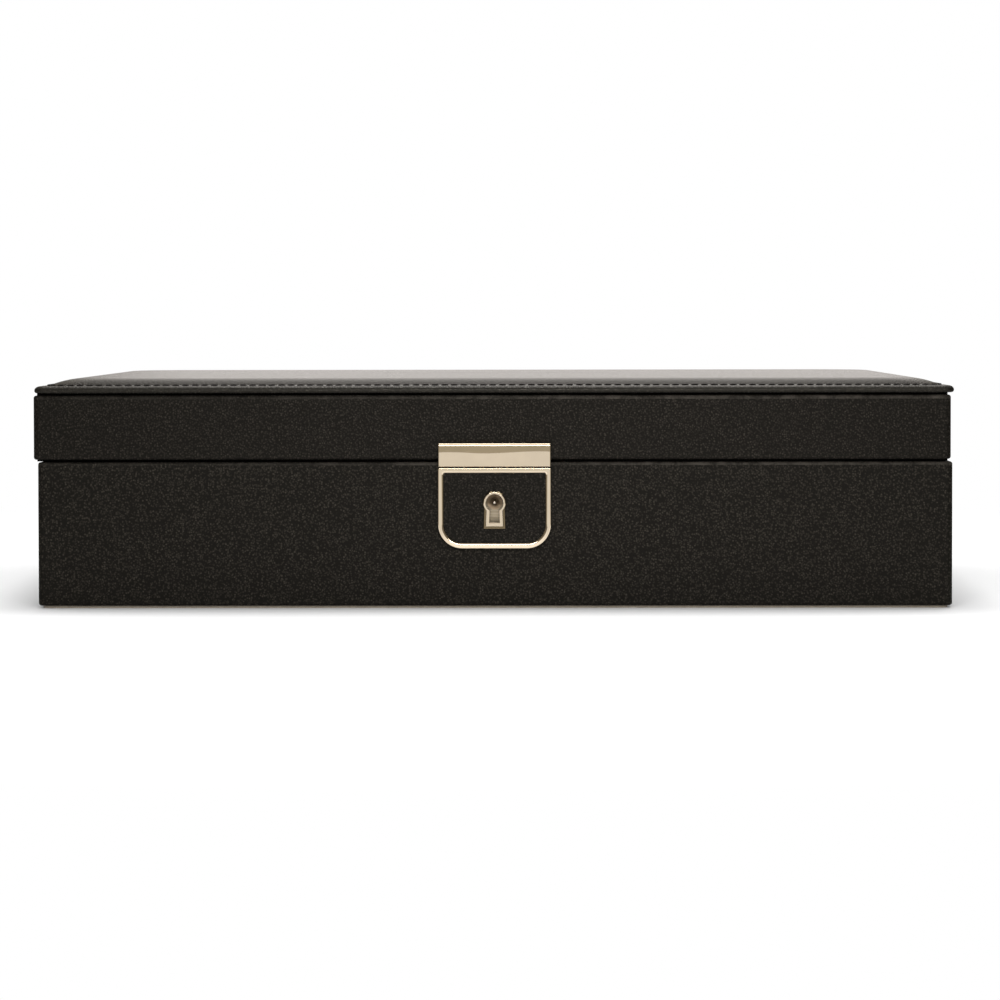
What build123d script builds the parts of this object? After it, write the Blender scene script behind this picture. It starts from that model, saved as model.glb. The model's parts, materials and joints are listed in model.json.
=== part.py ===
from build123d import *
import os

# Cufflink box with a hinged, padded lid, a front lock and a drawer in the right-hand side.
# Millimetres. X runs along the front, the front faces -Y, and Z is up from the surface under the felt.
# The box is built as the real one is: covered boards, a lined tray, a box lock and two butt hinges.

# ---------------------------------------------------------------------------------------------
# Driving sizes
# ---------------------------------------------------------------------------------------------
clearance = 0.1              # between hard pieces that are fitted together
running_gap = 0.3            # between a sliding piece and what carries it
overcut = 1.0                # how far a cutter runs past the face that it opens
touch = 0.001                # how far a cutter runs into a face that it only has to reach

# Case: boards covered in leather, on a felt pad
case_width = 285.0
case_depth = 190.0
case_height = 44.8
case_board = 7.0
leather = 1.0
case_corner_radius = 1.8     # upright corners of the covered case and lid
wrap_edge_radius = 0.8       # top and bottom edges of the covered case and lid
floor_board = 3.0
felt_thickness = 0.8
felt_inset = 1.3

# Lid frame, which stands slightly proud of the case and sits a little to its left
lid_gap = 0.8
lid_frame_height = 20.0
lid_overhang = 0.35
lid_side_offset = -0.9
lid_rail = 5.5
lid_top_board = 3.0
lid_lining = 0.6
lid_ceiling_pad = 2.0
lid_rest_gap = 0.2           # between the doubled leather under the lid and the case's rim
lid_groove_side = 0.8        # how deep the grooves above and below the lid's frame are at its sides
lid_groove_front = 3.4       # and at its front and back

# Padded top panel of the lid, a covered card that overhangs the frame
panel_gap = 0.7
panel_overhang = 0.75
panel_side_offset = -0.3
panel_card = 0.6
panel_leather = 0.8
panel_corner_radius = 2.4
panel_top_radius = 1.2
panel_foot_radius = 0.35
crown_inset = 3.3            # from the panel's edge to the foot of the padding
crown_height = 2.3
crown_steps = ((0.0, 0.0), (2.6, 0.46), (6.5, 0.88), (10.5, 1.0))   # way in, share of the height

# Tray under the lid
shelf_board = 3.0
tray_suede = 0.8
liner_card = 1.6
liner_lip = 3.0              # how far the liner stands above the case
divider_card = 2.0
divider_drop = 4.0           # from the case's rim down to the dividers' top
cell_columns = 6
cell_rows = 3
cell_depth = 38.0
pad_thickness = 2.2
pad_gap = 0.4
pad_edge = 0.8               # slope round the top of a pad

# Drawer and its opening in the right-hand side
drawer_sill = 5.0            # from the case's foot up to the opening
drawer_opening_height = 19.0
drawer_opening_margin = 11.0   # from the case's front and back to the opening
drawer_front_gap = 0.5
drawer_side_board = 3.0
drawer_bottom_board = 2.0
drawer_side_drop = 0.5       # how far the drawer's sides stay below its front
drawer_suede = 0.6
drawer_front_board = 7.0
drawer_divider_height = 12.0
drawer_compartments = 3
guide_ledge_width = 5.0

# Flush ring pull of the drawer: a cup in the drawer's front and a bail that folds into it
cup_radius = 6.6             # inside
cup_wall = 0.8
cup_depth = 4.6
cup_flange = 1.1             # how far the flange stands out from the cup's inside
bail_wire_radius = 0.75
bail_half_width = 4.5        # to the middle of the wire
bail_leg = 1.8
bail_pivot_height = 3.4      # above the cup's middle
bail_setback = 1.3           # from the drawer's face back to the pivot
bail_pin_radius = 0.5
bail_pin_clearance = 0.05

# Butt hinges at the back
hinge_inset = 52.5           # from the case's side to the middle of a hinge
hinge_length = 28.0
hinge_leaf = 1.2
hinge_leaf_reach = 9.2
hinge_leaf_gap = 0.2
hinge_knuckle_radius = 2.0
hinge_knuckles = 5
hinge_pin_radius = 1.0
hinge_pin_clearance = 0.05
hinge_stand_off = 0.15       # from the lid's back to the knuckles
hinge_screw_spacing = 18.0

# Small countersunk screws
screw_head_radius = 1.5
screw_head_depth = 0.8
screw_shank_radius = 0.75
screw_length = 5.0
screw_slot_width = 0.4
screw_slot_depth = 0.35

# Clasp bar on the lid, above the lock plate on the case
bar_width = 34.9
bar_height = 7.4
bar_thickness = 2.0
bar_overlap = 1.35           # how far the bar hangs below the case's rim
bar_top_radius = 1.0
bar_edge_radius = 0.2
bar_stud_radius = 1.1
bar_stud_length = 4.4
bar_stud_spacing = 24.0
bar_stud_height = 5.4        # above the bar's lower edge

# Lock plate: a metal frame around a leather panel
clasp_gap = 0.4
plate_extra_width = 0.2      # by which the plate is wider than the bar
plate_height = 25.1
plate_corner_radius = 7.5
plate_top_corner_radius = 0.4
bezel_width = 1.75
bezel_thickness = 2.2
bezel_inner_radius = 0.7
bezel_edge_radius = 0.25
backplate = 0.8
inlay = 0.9
plate_pin_radius = 0.8
plate_pin_length = 4.0
plate_pin_spacing = 20.0
plate_pin_height = 2.7       # above the plate's lower edge

# Keyhole collar
keyhole_drop = 10.85         # from the plate's top to the keyhole's centre
keyhole_radius = 2.7
keyhole_neck = 1.35          # half widths of the slot
keyhole_foot = 1.6
keyhole_reach = 6.2          # from the keyhole's centre to the end of its slot
collar_lip_eye = 0.72        # the raised lip: round the eye, beside the slot and under it
collar_lip_side = 1.05
collar_lip_end = 1.1
collar_flange_eye = 0.15     # how far the flange stands out from the lip in the same three places
collar_flange_side = 0.75
collar_flange_end = 0.8
collar_flange_thickness = 0.45
collar_height = 1.3
collar_edge_radius = 0.2

# Box lock in the front board
lock_width = 33.2
lock_height = 22.0
lock_plate = 0.8
lock_room = 2.8              # inside, from front to back
lock_setback = 0.1
key_pin_radius = 0.45
key_pin_recess_radius = 2.45   # of the dished hole round the pin, at its mouth
key_pin_hole_radius = 1.0
key_pin_flange_radius = 2.4
key_pin_flange = 0.4
key_pin_setback = 1.2        # from the collar's face back to the pin's end
rim_plate_width = 44.0
rim_plate_depth = 4.8
rim_plate_thickness = 1.2
rim_screw_spacing = 38.6

# Two hooks on the lid's strike plate and the bolt that slides over them
bolt_thickness = 1.4
bolt_travel = 2.5
hook_stem = 3.0
hook_foot = 2.5              # how far the foot stands out from the stem
hook_foot_height = 1.6
hook_drop = 6.9              # from the strike plate to the foot's underside
hook_pitch = 17.9            # from the first hook to the second
first_hook = -12.0           # left side of the first hook
bolt_nose_height = 1.9
bolt_bar_height = 2.8
bolt_gap = 0.3               # between the bolt and the hooks
talon_width = 2.6
talon_height = 2.0
ledge_width = 2.6

# ---------------------------------------------------------------------------------------------
# Levels and faces that the pieces share
# ---------------------------------------------------------------------------------------------
half_width = case_width / 2
half_depth = case_depth / 2
wall = leather + case_board
inner_half_width = half_width - wall
inner_half_depth = half_depth - wall
case_foot = felt_thickness
case_top = case_foot + case_height
floor_top = case_foot + floor_board

opening_foot = case_foot + drawer_sill
opening_top = opening_foot + drawer_opening_height
opening_half = half_depth - drawer_opening_margin
shelf_foot = opening_top
shelf_top = shelf_foot + shelf_board
tray_floor = shelf_top + tray_suede
divider_top = case_top - divider_drop
tray_half_width = inner_half_width - liner_card
tray_half_depth = inner_half_depth - liner_card
cell_width = (2 * tray_half_width - (cell_columns - 1) * divider_card) / cell_columns
cells_back = -tray_half_depth + cell_rows * (cell_depth + divider_card)   # back of the last long divider

lid_foot = case_top + lid_gap
lid_frame_top = lid_foot + lid_frame_height
lid_half_width = half_width + lid_overhang
lid_half_depth = half_depth + lid_overhang
lid_wall = leather + lid_rail
panel_foot = lid_frame_top + panel_gap
panel_card_foot = panel_foot + panel_leather
panel_card_top = panel_card_foot + panel_card
panel_top = panel_card_top + panel_leather
panel_half_width = half_width + panel_overhang
panel_half_depth = half_depth + panel_overhang
lid_board_foot = panel_card_foot - lid_top_board
lid_rest_foot = case_top + lid_rest_gap

hinge_y = lid_half_depth + hinge_stand_off + hinge_knuckle_radius
hinge_z = case_top + lid_gap / 2

bar_foot = case_top - bar_overlap
bar_back = -lid_half_depth
plate_width = bar_width + plate_extra_width
plate_top = bar_foot - clasp_gap
plate_foot = plate_top - plate_height
inlay_face = half_depth + backplate + inlay        # distances forward of the box's middle
collar_face = inlay_face + collar_height
keyhole_z = plate_top - keyhole_drop

lock_face = half_depth - leather - lock_setback    # front of the lock case, forward of the middle
lock_depth = lock_plate + lock_room + lock_plate
lock_inner_face = lock_face - lock_depth
rim_plate_foot = case_top - rim_plate_thickness
lock_top = rim_plate_foot - clearance
lock_foot = lock_top - lock_height
lock_half_inside = lock_width / 2 - lock_plate
bolt_middle = -(lock_face - lock_plate - lock_room / 2)
rim_plate_middle = bolt_middle

hook_foot_z = lid_foot - hook_drop
bolt_bar_top = hook_foot_z - bolt_gap
bolt_bar_foot = bolt_bar_top - bolt_bar_height
nose_foot = hook_foot_z + hook_foot_height + bolt_gap
nose_top = nose_foot + bolt_nose_height

drawer_inner_x = -inner_half_width + running_gap    # the drawer's closed end
drawer_face_x = half_width
drawer_front_inner_x = drawer_face_x - leather - drawer_front_board
drawer_half = opening_half - drawer_front_gap
drawer_foot = opening_foot + drawer_front_gap
drawer_top = opening_top - drawer_front_gap
drawer_side_top = drawer_top - drawer_side_drop
drawer_box_half = drawer_half - clearance
guide_half = opening_half - running_gap / 2
drawer_middle_z = (drawer_foot + drawer_top) / 2


# ---------------------------------------------------------------------------------------------
# Small helpers
# ---------------------------------------------------------------------------------------------
def block(x0, x1, y0, y1, z0, z1):
    """A box between two corners."""
    return Pos((x0 + x1) / 2, (y0 + y1) / 2, (z0 + z1) / 2) * Box(x1 - x0, y1 - y0, z1 - z0)


def centred_block(half_x, half_y, z0, z1, x=0.0):
    """A box centred on the middle of the footprint, or beside it by x."""
    return block(x - half_x, x + half_x, -half_y, half_y, z0, z1)


def rounded_block(half_x, half_y, radius, z0, z1, x=0.0):
    """A box with rounded upright corners."""
    return extrude(Pos(x, 0, z0) * RectangleRounded(2 * half_x, 2 * half_y, radius), z1 - z0)


def edges_at(solid, *levels):
    """The edges that lie flat at one of these heights."""
    found = solid.edges().filter_by(lambda e: e.bounding_box().size.Z < 1e-4)
    return [e for e in found if any(abs(e.center().Z - z) < 1e-4 for z in levels)]


def towards_front(sketch, back, front):
    """Extrudes an outline drawn in X and Z from one distance forward of the middle to another."""
    plane = Plane(origin=(0, -back, 0), x_dir=(1, 0, 0), z_dir=(0, -1, 0))
    return extrude(plane * sketch, front - back)


def along_y(x, z, radius, back, front):
    """A rod from one distance forward of the middle to another."""
    return towards_front(Pos(x, z) * Circle(radius), back, front)


def along_x(y, z, radius, x0, x1):
    """A rod from x0 to x1."""
    return Pos((x0 + x1) / 2, y, z) * Rot(0, 90, 0) * Cylinder(radius, x1 - x0)


def screw(x, y, z, points_up, grow=0.0):
    """A countersunk screw whose head lies flush at z, with no slot. Grown, it cuts the screw's hole."""
    head = Pos(0, 0, -screw_head_depth / 2) * Cone(
        screw_shank_radius + grow, screw_head_radius + grow, screw_head_depth
    )
    length = screw_length + grow
    shank = Pos(0, 0, -length / 2) * Cylinder(screw_shank_radius + grow, length)
    return Pos(x, y, z) * Rot(180 if points_up else 0, 0, 0) * (head + shank)


def slotted_screw(x, y, z, points_up):
    slot = Box(2 * screw_head_radius, screw_slot_width, 2 * screw_slot_depth)
    return screw(x, y, z, points_up) - Pos(x, y, z) * slot


def group(solids):
    """Separate solids that share one node."""
    return Compound(children=list(solids))


def cut_all(solid, cutters):
    for cutter in cutters:
        solid -= cutter
    return solid


def wrap(half_x, half_y, z0, z1, board, x=0.0):
    """Leather glued round four upright boards and turned over their rims."""
    skin = rounded_block(half_x, half_y, case_corner_radius, z0, z1, x)
    skin = fillet(edges_at(skin, z0, z1), wrap_edge_radius)
    skin -= centred_block(half_x - leather, half_y - leather, z0 + leather, z1 - leather, x)
    inside = leather + board
    return skin - centred_block(half_x - inside, half_y - inside, z0 - overcut, z1 + overcut, x)


# ---------------------------------------------------------------------------------------------
# Shared cutters and screw places
# ---------------------------------------------------------------------------------------------
hinge_places = (hinge_inset - half_width, half_width - hinge_inset)
hinge_leaf_front = hinge_y - hinge_leaf_reach
hinge_plate_back = hinge_y - hinge_knuckle_radius - 2 * clearance
hinge_screw_y = (hinge_leaf_front + half_depth - leather) / 2
case_leaf_top = hinge_z - hinge_leaf_gap / 2
lid_leaf_foot = hinge_z + hinge_leaf_gap / 2
case_hinge_screws = [
    (x + side * hinge_screw_spacing / 2, hinge_screw_y, case_leaf_top, False)
    for x in hinge_places for side in (-1, 1)
]
lid_hinge_screws = [(x, y, lid_leaf_foot, True) for x, y, _, _ in case_hinge_screws]
rim_screws = [(side * rim_screw_spacing / 2, rim_plate_middle, case_top, False) for side in (-1, 1)]
strike_screws_at = [(x, y, lid_foot, True) for x, y, _, _ in rim_screws]
bar_studs_at = [(side * bar_stud_spacing / 2, bar_foot + bar_stud_height) for side in (-1, 1)]
plate_pins_at = [(side * plate_pin_spacing / 2, plate_foot + plate_pin_height) for side in (-1, 1)]


def screw_holes(places):
    return [screw(*place, grow=clearance / 2) for place in places]


def leaf_mortise(x, z0, z1):
    """Room for a hinge leaf, open at the back."""
    return block(
        x - hinge_length / 2 - clearance, x + hinge_length / 2 + clearance,
        hinge_leaf_front - clearance, hinge_y + hinge_knuckle_radius, z0, z1,
    )


def case_leaf_mortises():
    seat = case_leaf_top - hinge_leaf - clearance / 2
    return [leaf_mortise(x, seat, case_top + overcut) for x in hinge_places]


def lid_leaf_mortises():
    seat = lid_leaf_foot + hinge_leaf + clearance / 2
    return [leaf_mortise(x, lid_foot - overcut, seat) for x in hinge_places]


def rim_mortise(z0, z1, grow=clearance):
    half = rim_plate_depth / 2 + grow
    return block(
        -rim_plate_width / 2 - grow, rim_plate_width / 2 + grow,
        rim_plate_middle - half, rim_plate_middle + half, z0, z1,
    )


def lock_pocket():
    """Room in the front board for the lock case and the flange of its key pin."""
    half = lock_width / 2 + clearance
    front = -lock_face - leather
    back = -lock_inner_face + key_pin_flange + clearance
    return block(-half, half, front, back, lock_foot - clearance, case_top)


def keyhole_outline(eye_rim=0.0, side_rim=0.0, end_rim=0.0):
    """A round eye with a slot that widens downwards, grown round the eye, beside the slot and under it."""
    eye = Circle(keyhole_radius + eye_rim)
    half_end = keyhole_foot + side_rim
    half_neck = keyhole_neck + side_rim
    reach = keyhole_reach + end_rim
    slot = Polygon((-half_end, -reach), (half_end, -reach), (half_neck, 0), (-half_neck, 0), align=None)
    return Pos(0, keyhole_z) * (eye + slot)


def collar_outline(grow=0.0):
    """The outside of the collar's raised lip."""
    return keyhole_outline(collar_lip_eye + grow, collar_lip_side + grow, collar_lip_end + grow)


def plate_outline(inset=0.0):
    """The lock plate's outline: square at the top and round at the lower corners."""
    width = plate_width - 2 * inset
    height = plate_height - 2 * inset
    outline = Pos(0, (plate_top + plate_foot) / 2) * Rectangle(width, height)
    corners = outline.vertices().sort_by(Axis.Y)
    outline = fillet(corners[:2], plate_corner_radius - inset)
    corners = outline.vertices().sort_by(Axis.Y)
    return fillet(corners[-2:], plate_top_corner_radius)


# ---------------------------------------------------------------------------------------------
# Case
# ---------------------------------------------------------------------------------------------
board_foot = case_foot + leather
board_top = case_top - leather


def plate_pin_holes(back, front):
    return [along_y(x, z, plate_pin_radius + clearance / 2, back, front) for x, z in plate_pins_at]


def case_front_board():
    board = block(
        -half_width + leather, half_width - leather, -half_depth + leather, -inner_half_depth,
        board_foot, board_top,
    )
    pins = plate_pin_holes(half_depth - plate_pin_length - clearance, half_depth)
    cutters = [lock_pocket(), rim_mortise(rim_plate_foot - clearance / 2, case_top)]
    return cut_all(board, cutters + pins + screw_holes(rim_screws))


def case_back_board():
    board = block(
        -half_width + leather, half_width - leather, inner_half_depth, half_depth - leather,
        board_foot, board_top,
    )
    return cut_all(board, case_leaf_mortises() + screw_holes(case_hinge_screws))


def case_side_board(near, far):
    return block(near, far, -inner_half_depth, inner_half_depth, board_foot, board_top)


def case_left_board():
    return case_side_board(-half_width + leather, -inner_half_width)


def case_right_board():
    return case_side_board(inner_half_width, half_width - leather) - drawer_opening(grow=leather)


def case_floor_board():
    return centred_block(inner_half_width, inner_half_depth, case_foot, floor_top)


def drawer_opening(grow=0.0):
    """The way through the right-hand side, grown to the outside of its leather sleeve."""
    return block(
        inner_half_width - overcut, half_width + overcut, -opening_half - grow, opening_half + grow,
        opening_foot - grow, opening_top + grow,
    )


def case_leather():
    skin = wrap(half_width, half_depth, case_foot, case_top, case_board)
    right_side = block(inner_half_width, half_width, -half_depth, half_depth, case_foot, case_top)
    skin += drawer_opening(grow=leather) & right_side & block(
        inner_half_width, half_width - wrap_edge_radius, -half_depth, half_depth, case_foot, case_top
    )
    skin -= drawer_opening()
    pins = plate_pin_holes(half_depth - 2 * leather, half_depth + overcut)
    keyhole = towards_front(collar_outline(clearance), lock_face - leather, half_depth + overcut)
    cutters = [keyhole, rim_mortise(rim_plate_foot - clearance / 2, case_top + overcut)]
    return cut_all(skin, cutters + pins + case_leaf_mortises() + screw_holes(case_hinge_screws + rim_screws))


def base_felt():
    half_x, half_y = half_width - felt_inset, half_depth - felt_inset
    return rounded_block(half_x, half_y, case_corner_radius, 0, felt_thickness)


# ---------------------------------------------------------------------------------------------
# Tray
# ---------------------------------------------------------------------------------------------
def tray_shelf():
    return centred_block(inner_half_width, inner_half_depth, shelf_foot, shelf_top)


def tray_liner():
    """Four suede-covered strips that line the tray and stand above the rim, inside the lid."""
    top = case_top + liner_lip
    strips = []
    for side in (-1, 1):
        near, far = sorted((side * tray_half_depth, side * inner_half_depth))
        strips.append(block(-inner_half_width, inner_half_width, near, far, shelf_top, top))
        near, far = sorted((side * tray_half_width, side * inner_half_width))
        strips.append(block(near, far, -tray_half_depth, tray_half_depth, shelf_top, top))
    return group(strips)


def tray_floor_suede():
    return centred_block(tray_half_width, tray_half_depth, shelf_top, tray_floor)


divider_middle = (tray_floor + divider_top) / 2


def long_divider_y(row):
    """Front face of the divider behind a row of cells."""
    return -tray_half_depth + (row + 1) * cell_depth + row * divider_card


def cross_divider_x(column):
    """Left face of the divider to the right of a column of cells."""
    return -tray_half_width + (column + 1) * cell_width + column * divider_card


def tray_divider_long(row):
    y = long_divider_y(row)
    board = block(-tray_half_width, tray_half_width, y, y + divider_card, tray_floor, divider_top)
    # Half laps: the long dividers are notched from above. The cross dividers end inside the last one.
    back = y + divider_card / 2 if row == cell_rows - 1 else y + divider_card + overcut
    for column in range(cell_columns - 1):
        x = cross_divider_x(column)
        board -= block(
            x - clearance, x + divider_card + clearance, y - overcut, back,
            divider_middle, divider_top + overcut,
        )
    return board


def tray_divider_cross(column):
    x = cross_divider_x(column)
    back = long_divider_y(cell_rows - 1) + divider_card / 2 - clearance
    board = block(x, x + divider_card, -tray_half_depth, back, tray_floor, divider_top)
    for row in range(cell_rows):
        y = long_divider_y(row)
        board -= block(
            x - overcut, x + divider_card + overcut, y - clearance, y + divider_card + clearance,
            tray_floor - overcut, divider_middle + clearance,
        )
    return board


def soft_pad(left, right, front, back):
    """A thin stuffed pad with a sloped top edge, on the tray's floor between four walls."""
    top = tray_floor + pad_thickness
    pad = block(left + pad_gap, right - pad_gap, front + pad_gap, back - pad_gap, tray_floor, top)
    return chamfer(edges_at(pad, top), pad_edge)


def cell_box(column, row):
    """The four sides of a cell: left, right, front and back."""
    left = -tray_half_width + column * (cell_width + divider_card)
    front = -tray_half_depth + row * (cell_depth + divider_card)
    return left, left + cell_width, front, front + cell_depth


def cell_pads():
    pads = []
    for row in range(cell_rows):
        for column in range(cell_columns):
            pads.append(soft_pad(*cell_box(column, row)))
    return group(pads)


def long_pad():
    return soft_pad(-tray_half_width, tray_half_width, cells_back, tray_half_depth)


# ---------------------------------------------------------------------------------------------
# Drawer
# ---------------------------------------------------------------------------------------------
def drawer_guides():
    """Two guides of L section that keep the drawer straight, carry it and carry the shelf."""
    guides = []
    for side in (-1, 1):
        near, far = sorted((side * guide_half, side * inner_half_depth))
        upright = block(-inner_half_width, inner_half_width, near, far, floor_top, shelf_foot)
        near, far = sorted((side * (guide_half - guide_ledge_width), side * guide_half))
        ledge = block(-inner_half_width, inner_half_width, near, far, floor_top, drawer_foot - running_gap)
        guides.append(upright + ledge)
    return group(guides)


drawer_inside_x = drawer_inner_x + drawer_side_board
drawer_lining_half = drawer_box_half - drawer_side_board


def pull_disc(radius, x0, x1):
    return along_x(0, drawer_middle_z, radius, x0, x1)


cup_back = drawer_face_x - cup_depth - cup_wall
cup_flange_back = drawer_face_x - leather
bail_pivot_x = drawer_face_x - bail_setback
bail_pivot_z = drawer_middle_z + bail_pivot_height


def drawer_front():
    board = block(
        drawer_front_inner_x, drawer_face_x - leather, -drawer_half + leather, drawer_half - leather,
        drawer_foot + leather, drawer_top - leather,
    )
    return board - pull_disc(cup_radius + cup_wall + clearance, cup_back - clearance, drawer_face_x)


def drawer_front_leather():
    skin = block(drawer_front_inner_x, drawer_face_x, -drawer_half, drawer_half, drawer_foot, drawer_top)
    skin = fillet(skin.faces().sort_by(Axis.X)[-1].edges(), wrap_edge_radius)
    skin -= block(
        drawer_front_inner_x - overcut, drawer_face_x - leather,
        -drawer_half + leather, drawer_half - leather,
        drawer_foot + leather, drawer_top - leather,
    )
    flange_room = cup_radius + cup_flange + clearance
    return skin - pull_disc(flange_room, drawer_front_inner_x, drawer_face_x + overcut)


def bail_rod(radius, half_length):
    """The bail's pivot, across the cup."""
    return Pos(bail_pivot_x, 0, bail_pivot_z) * Rot(90, 0, 0) * Cylinder(radius, 2 * half_length)


def pull_cup():
    cup = pull_disc(cup_radius + cup_wall, cup_back, drawer_face_x)
    cup += pull_disc(cup_radius + cup_flange, cup_flange_back, drawer_face_x)
    cup -= pull_disc(cup_radius, drawer_face_x - cup_depth, drawer_face_x + overcut)
    return cup - bail_rod(bail_pin_radius + bail_pin_clearance, cup_radius + cup_wall)


def pull_bail():
    """A U of wire with a straight pivot across its top, whose ends sit in the cup's wall."""
    pin_top = bail_pivot_height + bail_pin_radius
    pin_reach = ((cup_radius + cup_wall) ** 2 - pin_top ** 2) ** 0.5 - clearance
    arc_z = bail_pivot_z - bail_leg
    left, right = -bail_half_width, bail_half_width
    path = Line((bail_pivot_x, left, bail_pivot_z), (bail_pivot_x, left, arc_z))
    path += ThreePointArc(
        (bail_pivot_x, left, arc_z), (bail_pivot_x, 0, arc_z - bail_half_width), (bail_pivot_x, right, arc_z)
    )
    path += Line((bail_pivot_x, right, arc_z), (bail_pivot_x, right, bail_pivot_z))
    start = Plane(origin=(bail_pivot_x, left, bail_pivot_z), z_dir=(0, 0, -1))
    bail = sweep(start * Circle(bail_wire_radius), path)
    bail += bail_rod(bail_wire_radius, bail_half_width)
    return bail + bail_rod(bail_pin_radius, pin_reach)


def drawer_sides():
    sides = []
    for side in (-1, 1):
        near, far = sorted((side * drawer_lining_half, side * drawer_box_half))
        sides.append(block(drawer_inside_x, drawer_front_inner_x, near, far, drawer_foot, drawer_side_top))
    return group(sides)


def drawer_end():
    return block(
        drawer_inner_x, drawer_inside_x, -drawer_box_half, drawer_box_half, drawer_foot, drawer_side_top
    )


def drawer_bottom():
    return block(
        drawer_inside_x, drawer_front_inner_x, -drawer_lining_half, drawer_lining_half,
        drawer_foot, drawer_foot + drawer_bottom_board,
    )


drawer_floor = drawer_foot + drawer_bottom_board + drawer_suede


def drawer_lining():
    lining = block(
        drawer_inside_x, drawer_front_inner_x, -drawer_lining_half, drawer_lining_half,
        drawer_foot + drawer_bottom_board, drawer_side_top,
    )
    return lining - block(
        drawer_inside_x + drawer_suede, drawer_front_inner_x - drawer_suede,
        -drawer_lining_half + drawer_suede, drawer_lining_half - drawer_suede,
        drawer_floor, drawer_side_top + overcut,
    )


def drawer_compartment(number):
    """Left and right face of one compartment, counted from the closed end."""
    left = drawer_inside_x + drawer_suede
    room = drawer_front_inner_x - drawer_suede - left - (drawer_compartments - 1) * divider_card
    start = left + number * (room / drawer_compartments + divider_card)
    return start, start + room / drawer_compartments


def drawer_dividers():
    half = drawer_lining_half - drawer_suede
    top = drawer_floor + drawer_divider_height
    walls = []
    for number in range(drawer_compartments - 1):
        x = drawer_compartment(number)[1]
        walls.append(block(x, x + divider_card, -half, half, drawer_floor, top))
    return group(walls)


# ---------------------------------------------------------------------------------------------
# Lid
# ---------------------------------------------------------------------------------------------
def lid_block(half_x, half_y, z0, z1):
    return centred_block(half_x, half_y, z0, z1, lid_side_offset)


rail_foot = lid_foot + leather
rail_top = lid_frame_top - leather
rail_half_width = lid_half_width - leather
rail_half_depth = lid_half_depth - leather
lid_inner_half_width = lid_half_width - lid_wall
lid_inner_half_depth = lid_half_depth - lid_wall


def bar_stud_holes():
    depth = bar_stud_length + clearance
    back, front = lid_half_depth - depth, lid_half_depth + overcut
    return [along_y(x, z, bar_stud_radius + clearance / 2, back, front) for x, z in bar_studs_at]


def strike_mortise():
    return rim_mortise(lid_foot - overcut, lid_foot + rim_plate_thickness + clearance / 2)


def lid_front_rail():
    rail = block(
        lid_side_offset - rail_half_width, lid_side_offset + rail_half_width,
        -rail_half_depth, -lid_inner_half_depth, rail_foot, rail_top,
    )
    return cut_all(rail, [strike_mortise()] + bar_stud_holes() + screw_holes(strike_screws_at))


def lid_back_rail():
    rail = block(
        lid_side_offset - rail_half_width, lid_side_offset + rail_half_width,
        lid_inner_half_depth, rail_half_depth, rail_foot, rail_top,
    )
    return cut_all(rail, lid_leaf_mortises() + screw_holes(lid_hinge_screws))


def lid_side_rail(side):
    near, far = sorted((side * lid_inner_half_width, side * rail_half_width))
    return block(
        lid_side_offset + near, lid_side_offset + far, -lid_inner_half_depth, lid_inner_half_depth,
        rail_foot, rail_top,
    )


def lid_board():
    return lid_block(lid_inner_half_width, lid_inner_half_depth, lid_board_foot, panel_card_foot)


def lid_doubling(z0, z1):
    """A second layer of leather on the rails, set back from the frame's faces to leave a groove."""
    layer = lid_block(lid_half_width - lid_groove_side, lid_half_depth - lid_groove_front, z0, z1)
    return layer - lid_block(lid_inner_half_width, lid_inner_half_depth, z0 - overcut, z1 + overcut)


def lid_leather():
    skin = wrap(lid_half_width, lid_half_depth, lid_foot, lid_frame_top, lid_rail, lid_side_offset)
    skin += lid_doubling(lid_rest_foot, lid_foot)
    skin += lid_doubling(lid_frame_top, panel_foot)
    cutters = [strike_mortise()] + bar_stud_holes() + lid_leaf_mortises()
    return cut_all(skin, cutters + screw_holes(lid_hinge_screws + strike_screws_at))


def crown(inset, foot):
    """The padding's shape: steep near the stitching, then nearly flat."""
    sections = []
    for way_in, share in crown_steps:
        total = inset + way_in
        outline = RectangleRounded(
            2 * (panel_half_width - total), 2 * (panel_half_depth - total), panel_corner_radius + way_in
        )
        sections.append(Pos(panel_side_offset, 0, foot + share * crown_height) * outline)
    return loft(sections)


def lid_card():
    return rounded_block(
        panel_half_width - panel_leather, panel_half_depth - panel_leather,
        panel_corner_radius - panel_leather, panel_card_foot, panel_card_top, panel_side_offset,
    )


def lid_foam():
    return crown(crown_inset + panel_leather, panel_card_top)


def lid_top_leather():
    skin = rounded_block(
        panel_half_width, panel_half_depth, panel_corner_radius, panel_foot, panel_top, panel_side_offset
    )
    skin = fillet(edges_at(skin, panel_top), panel_top_radius)
    skin = fillet(edges_at(skin, panel_foot), panel_foot_radius)
    skin += crown(crown_inset, panel_top)
    skin -= lid_card()
    skin -= lid_foam()
    # Turned in under the card as far as the board that fills the frame
    return skin - lid_block(
        lid_inner_half_width, lid_inner_half_depth, panel_foot - overcut, panel_card_foot + touch
    )


def lid_lining_suede():
    lining = lid_block(lid_inner_half_width, lid_inner_half_depth, rail_foot, lid_board_foot)
    return lining - lid_block(
        lid_inner_half_width - lid_lining, lid_inner_half_depth - lid_lining,
        rail_foot - overcut, lid_board_foot - lid_ceiling_pad,
    )


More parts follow.
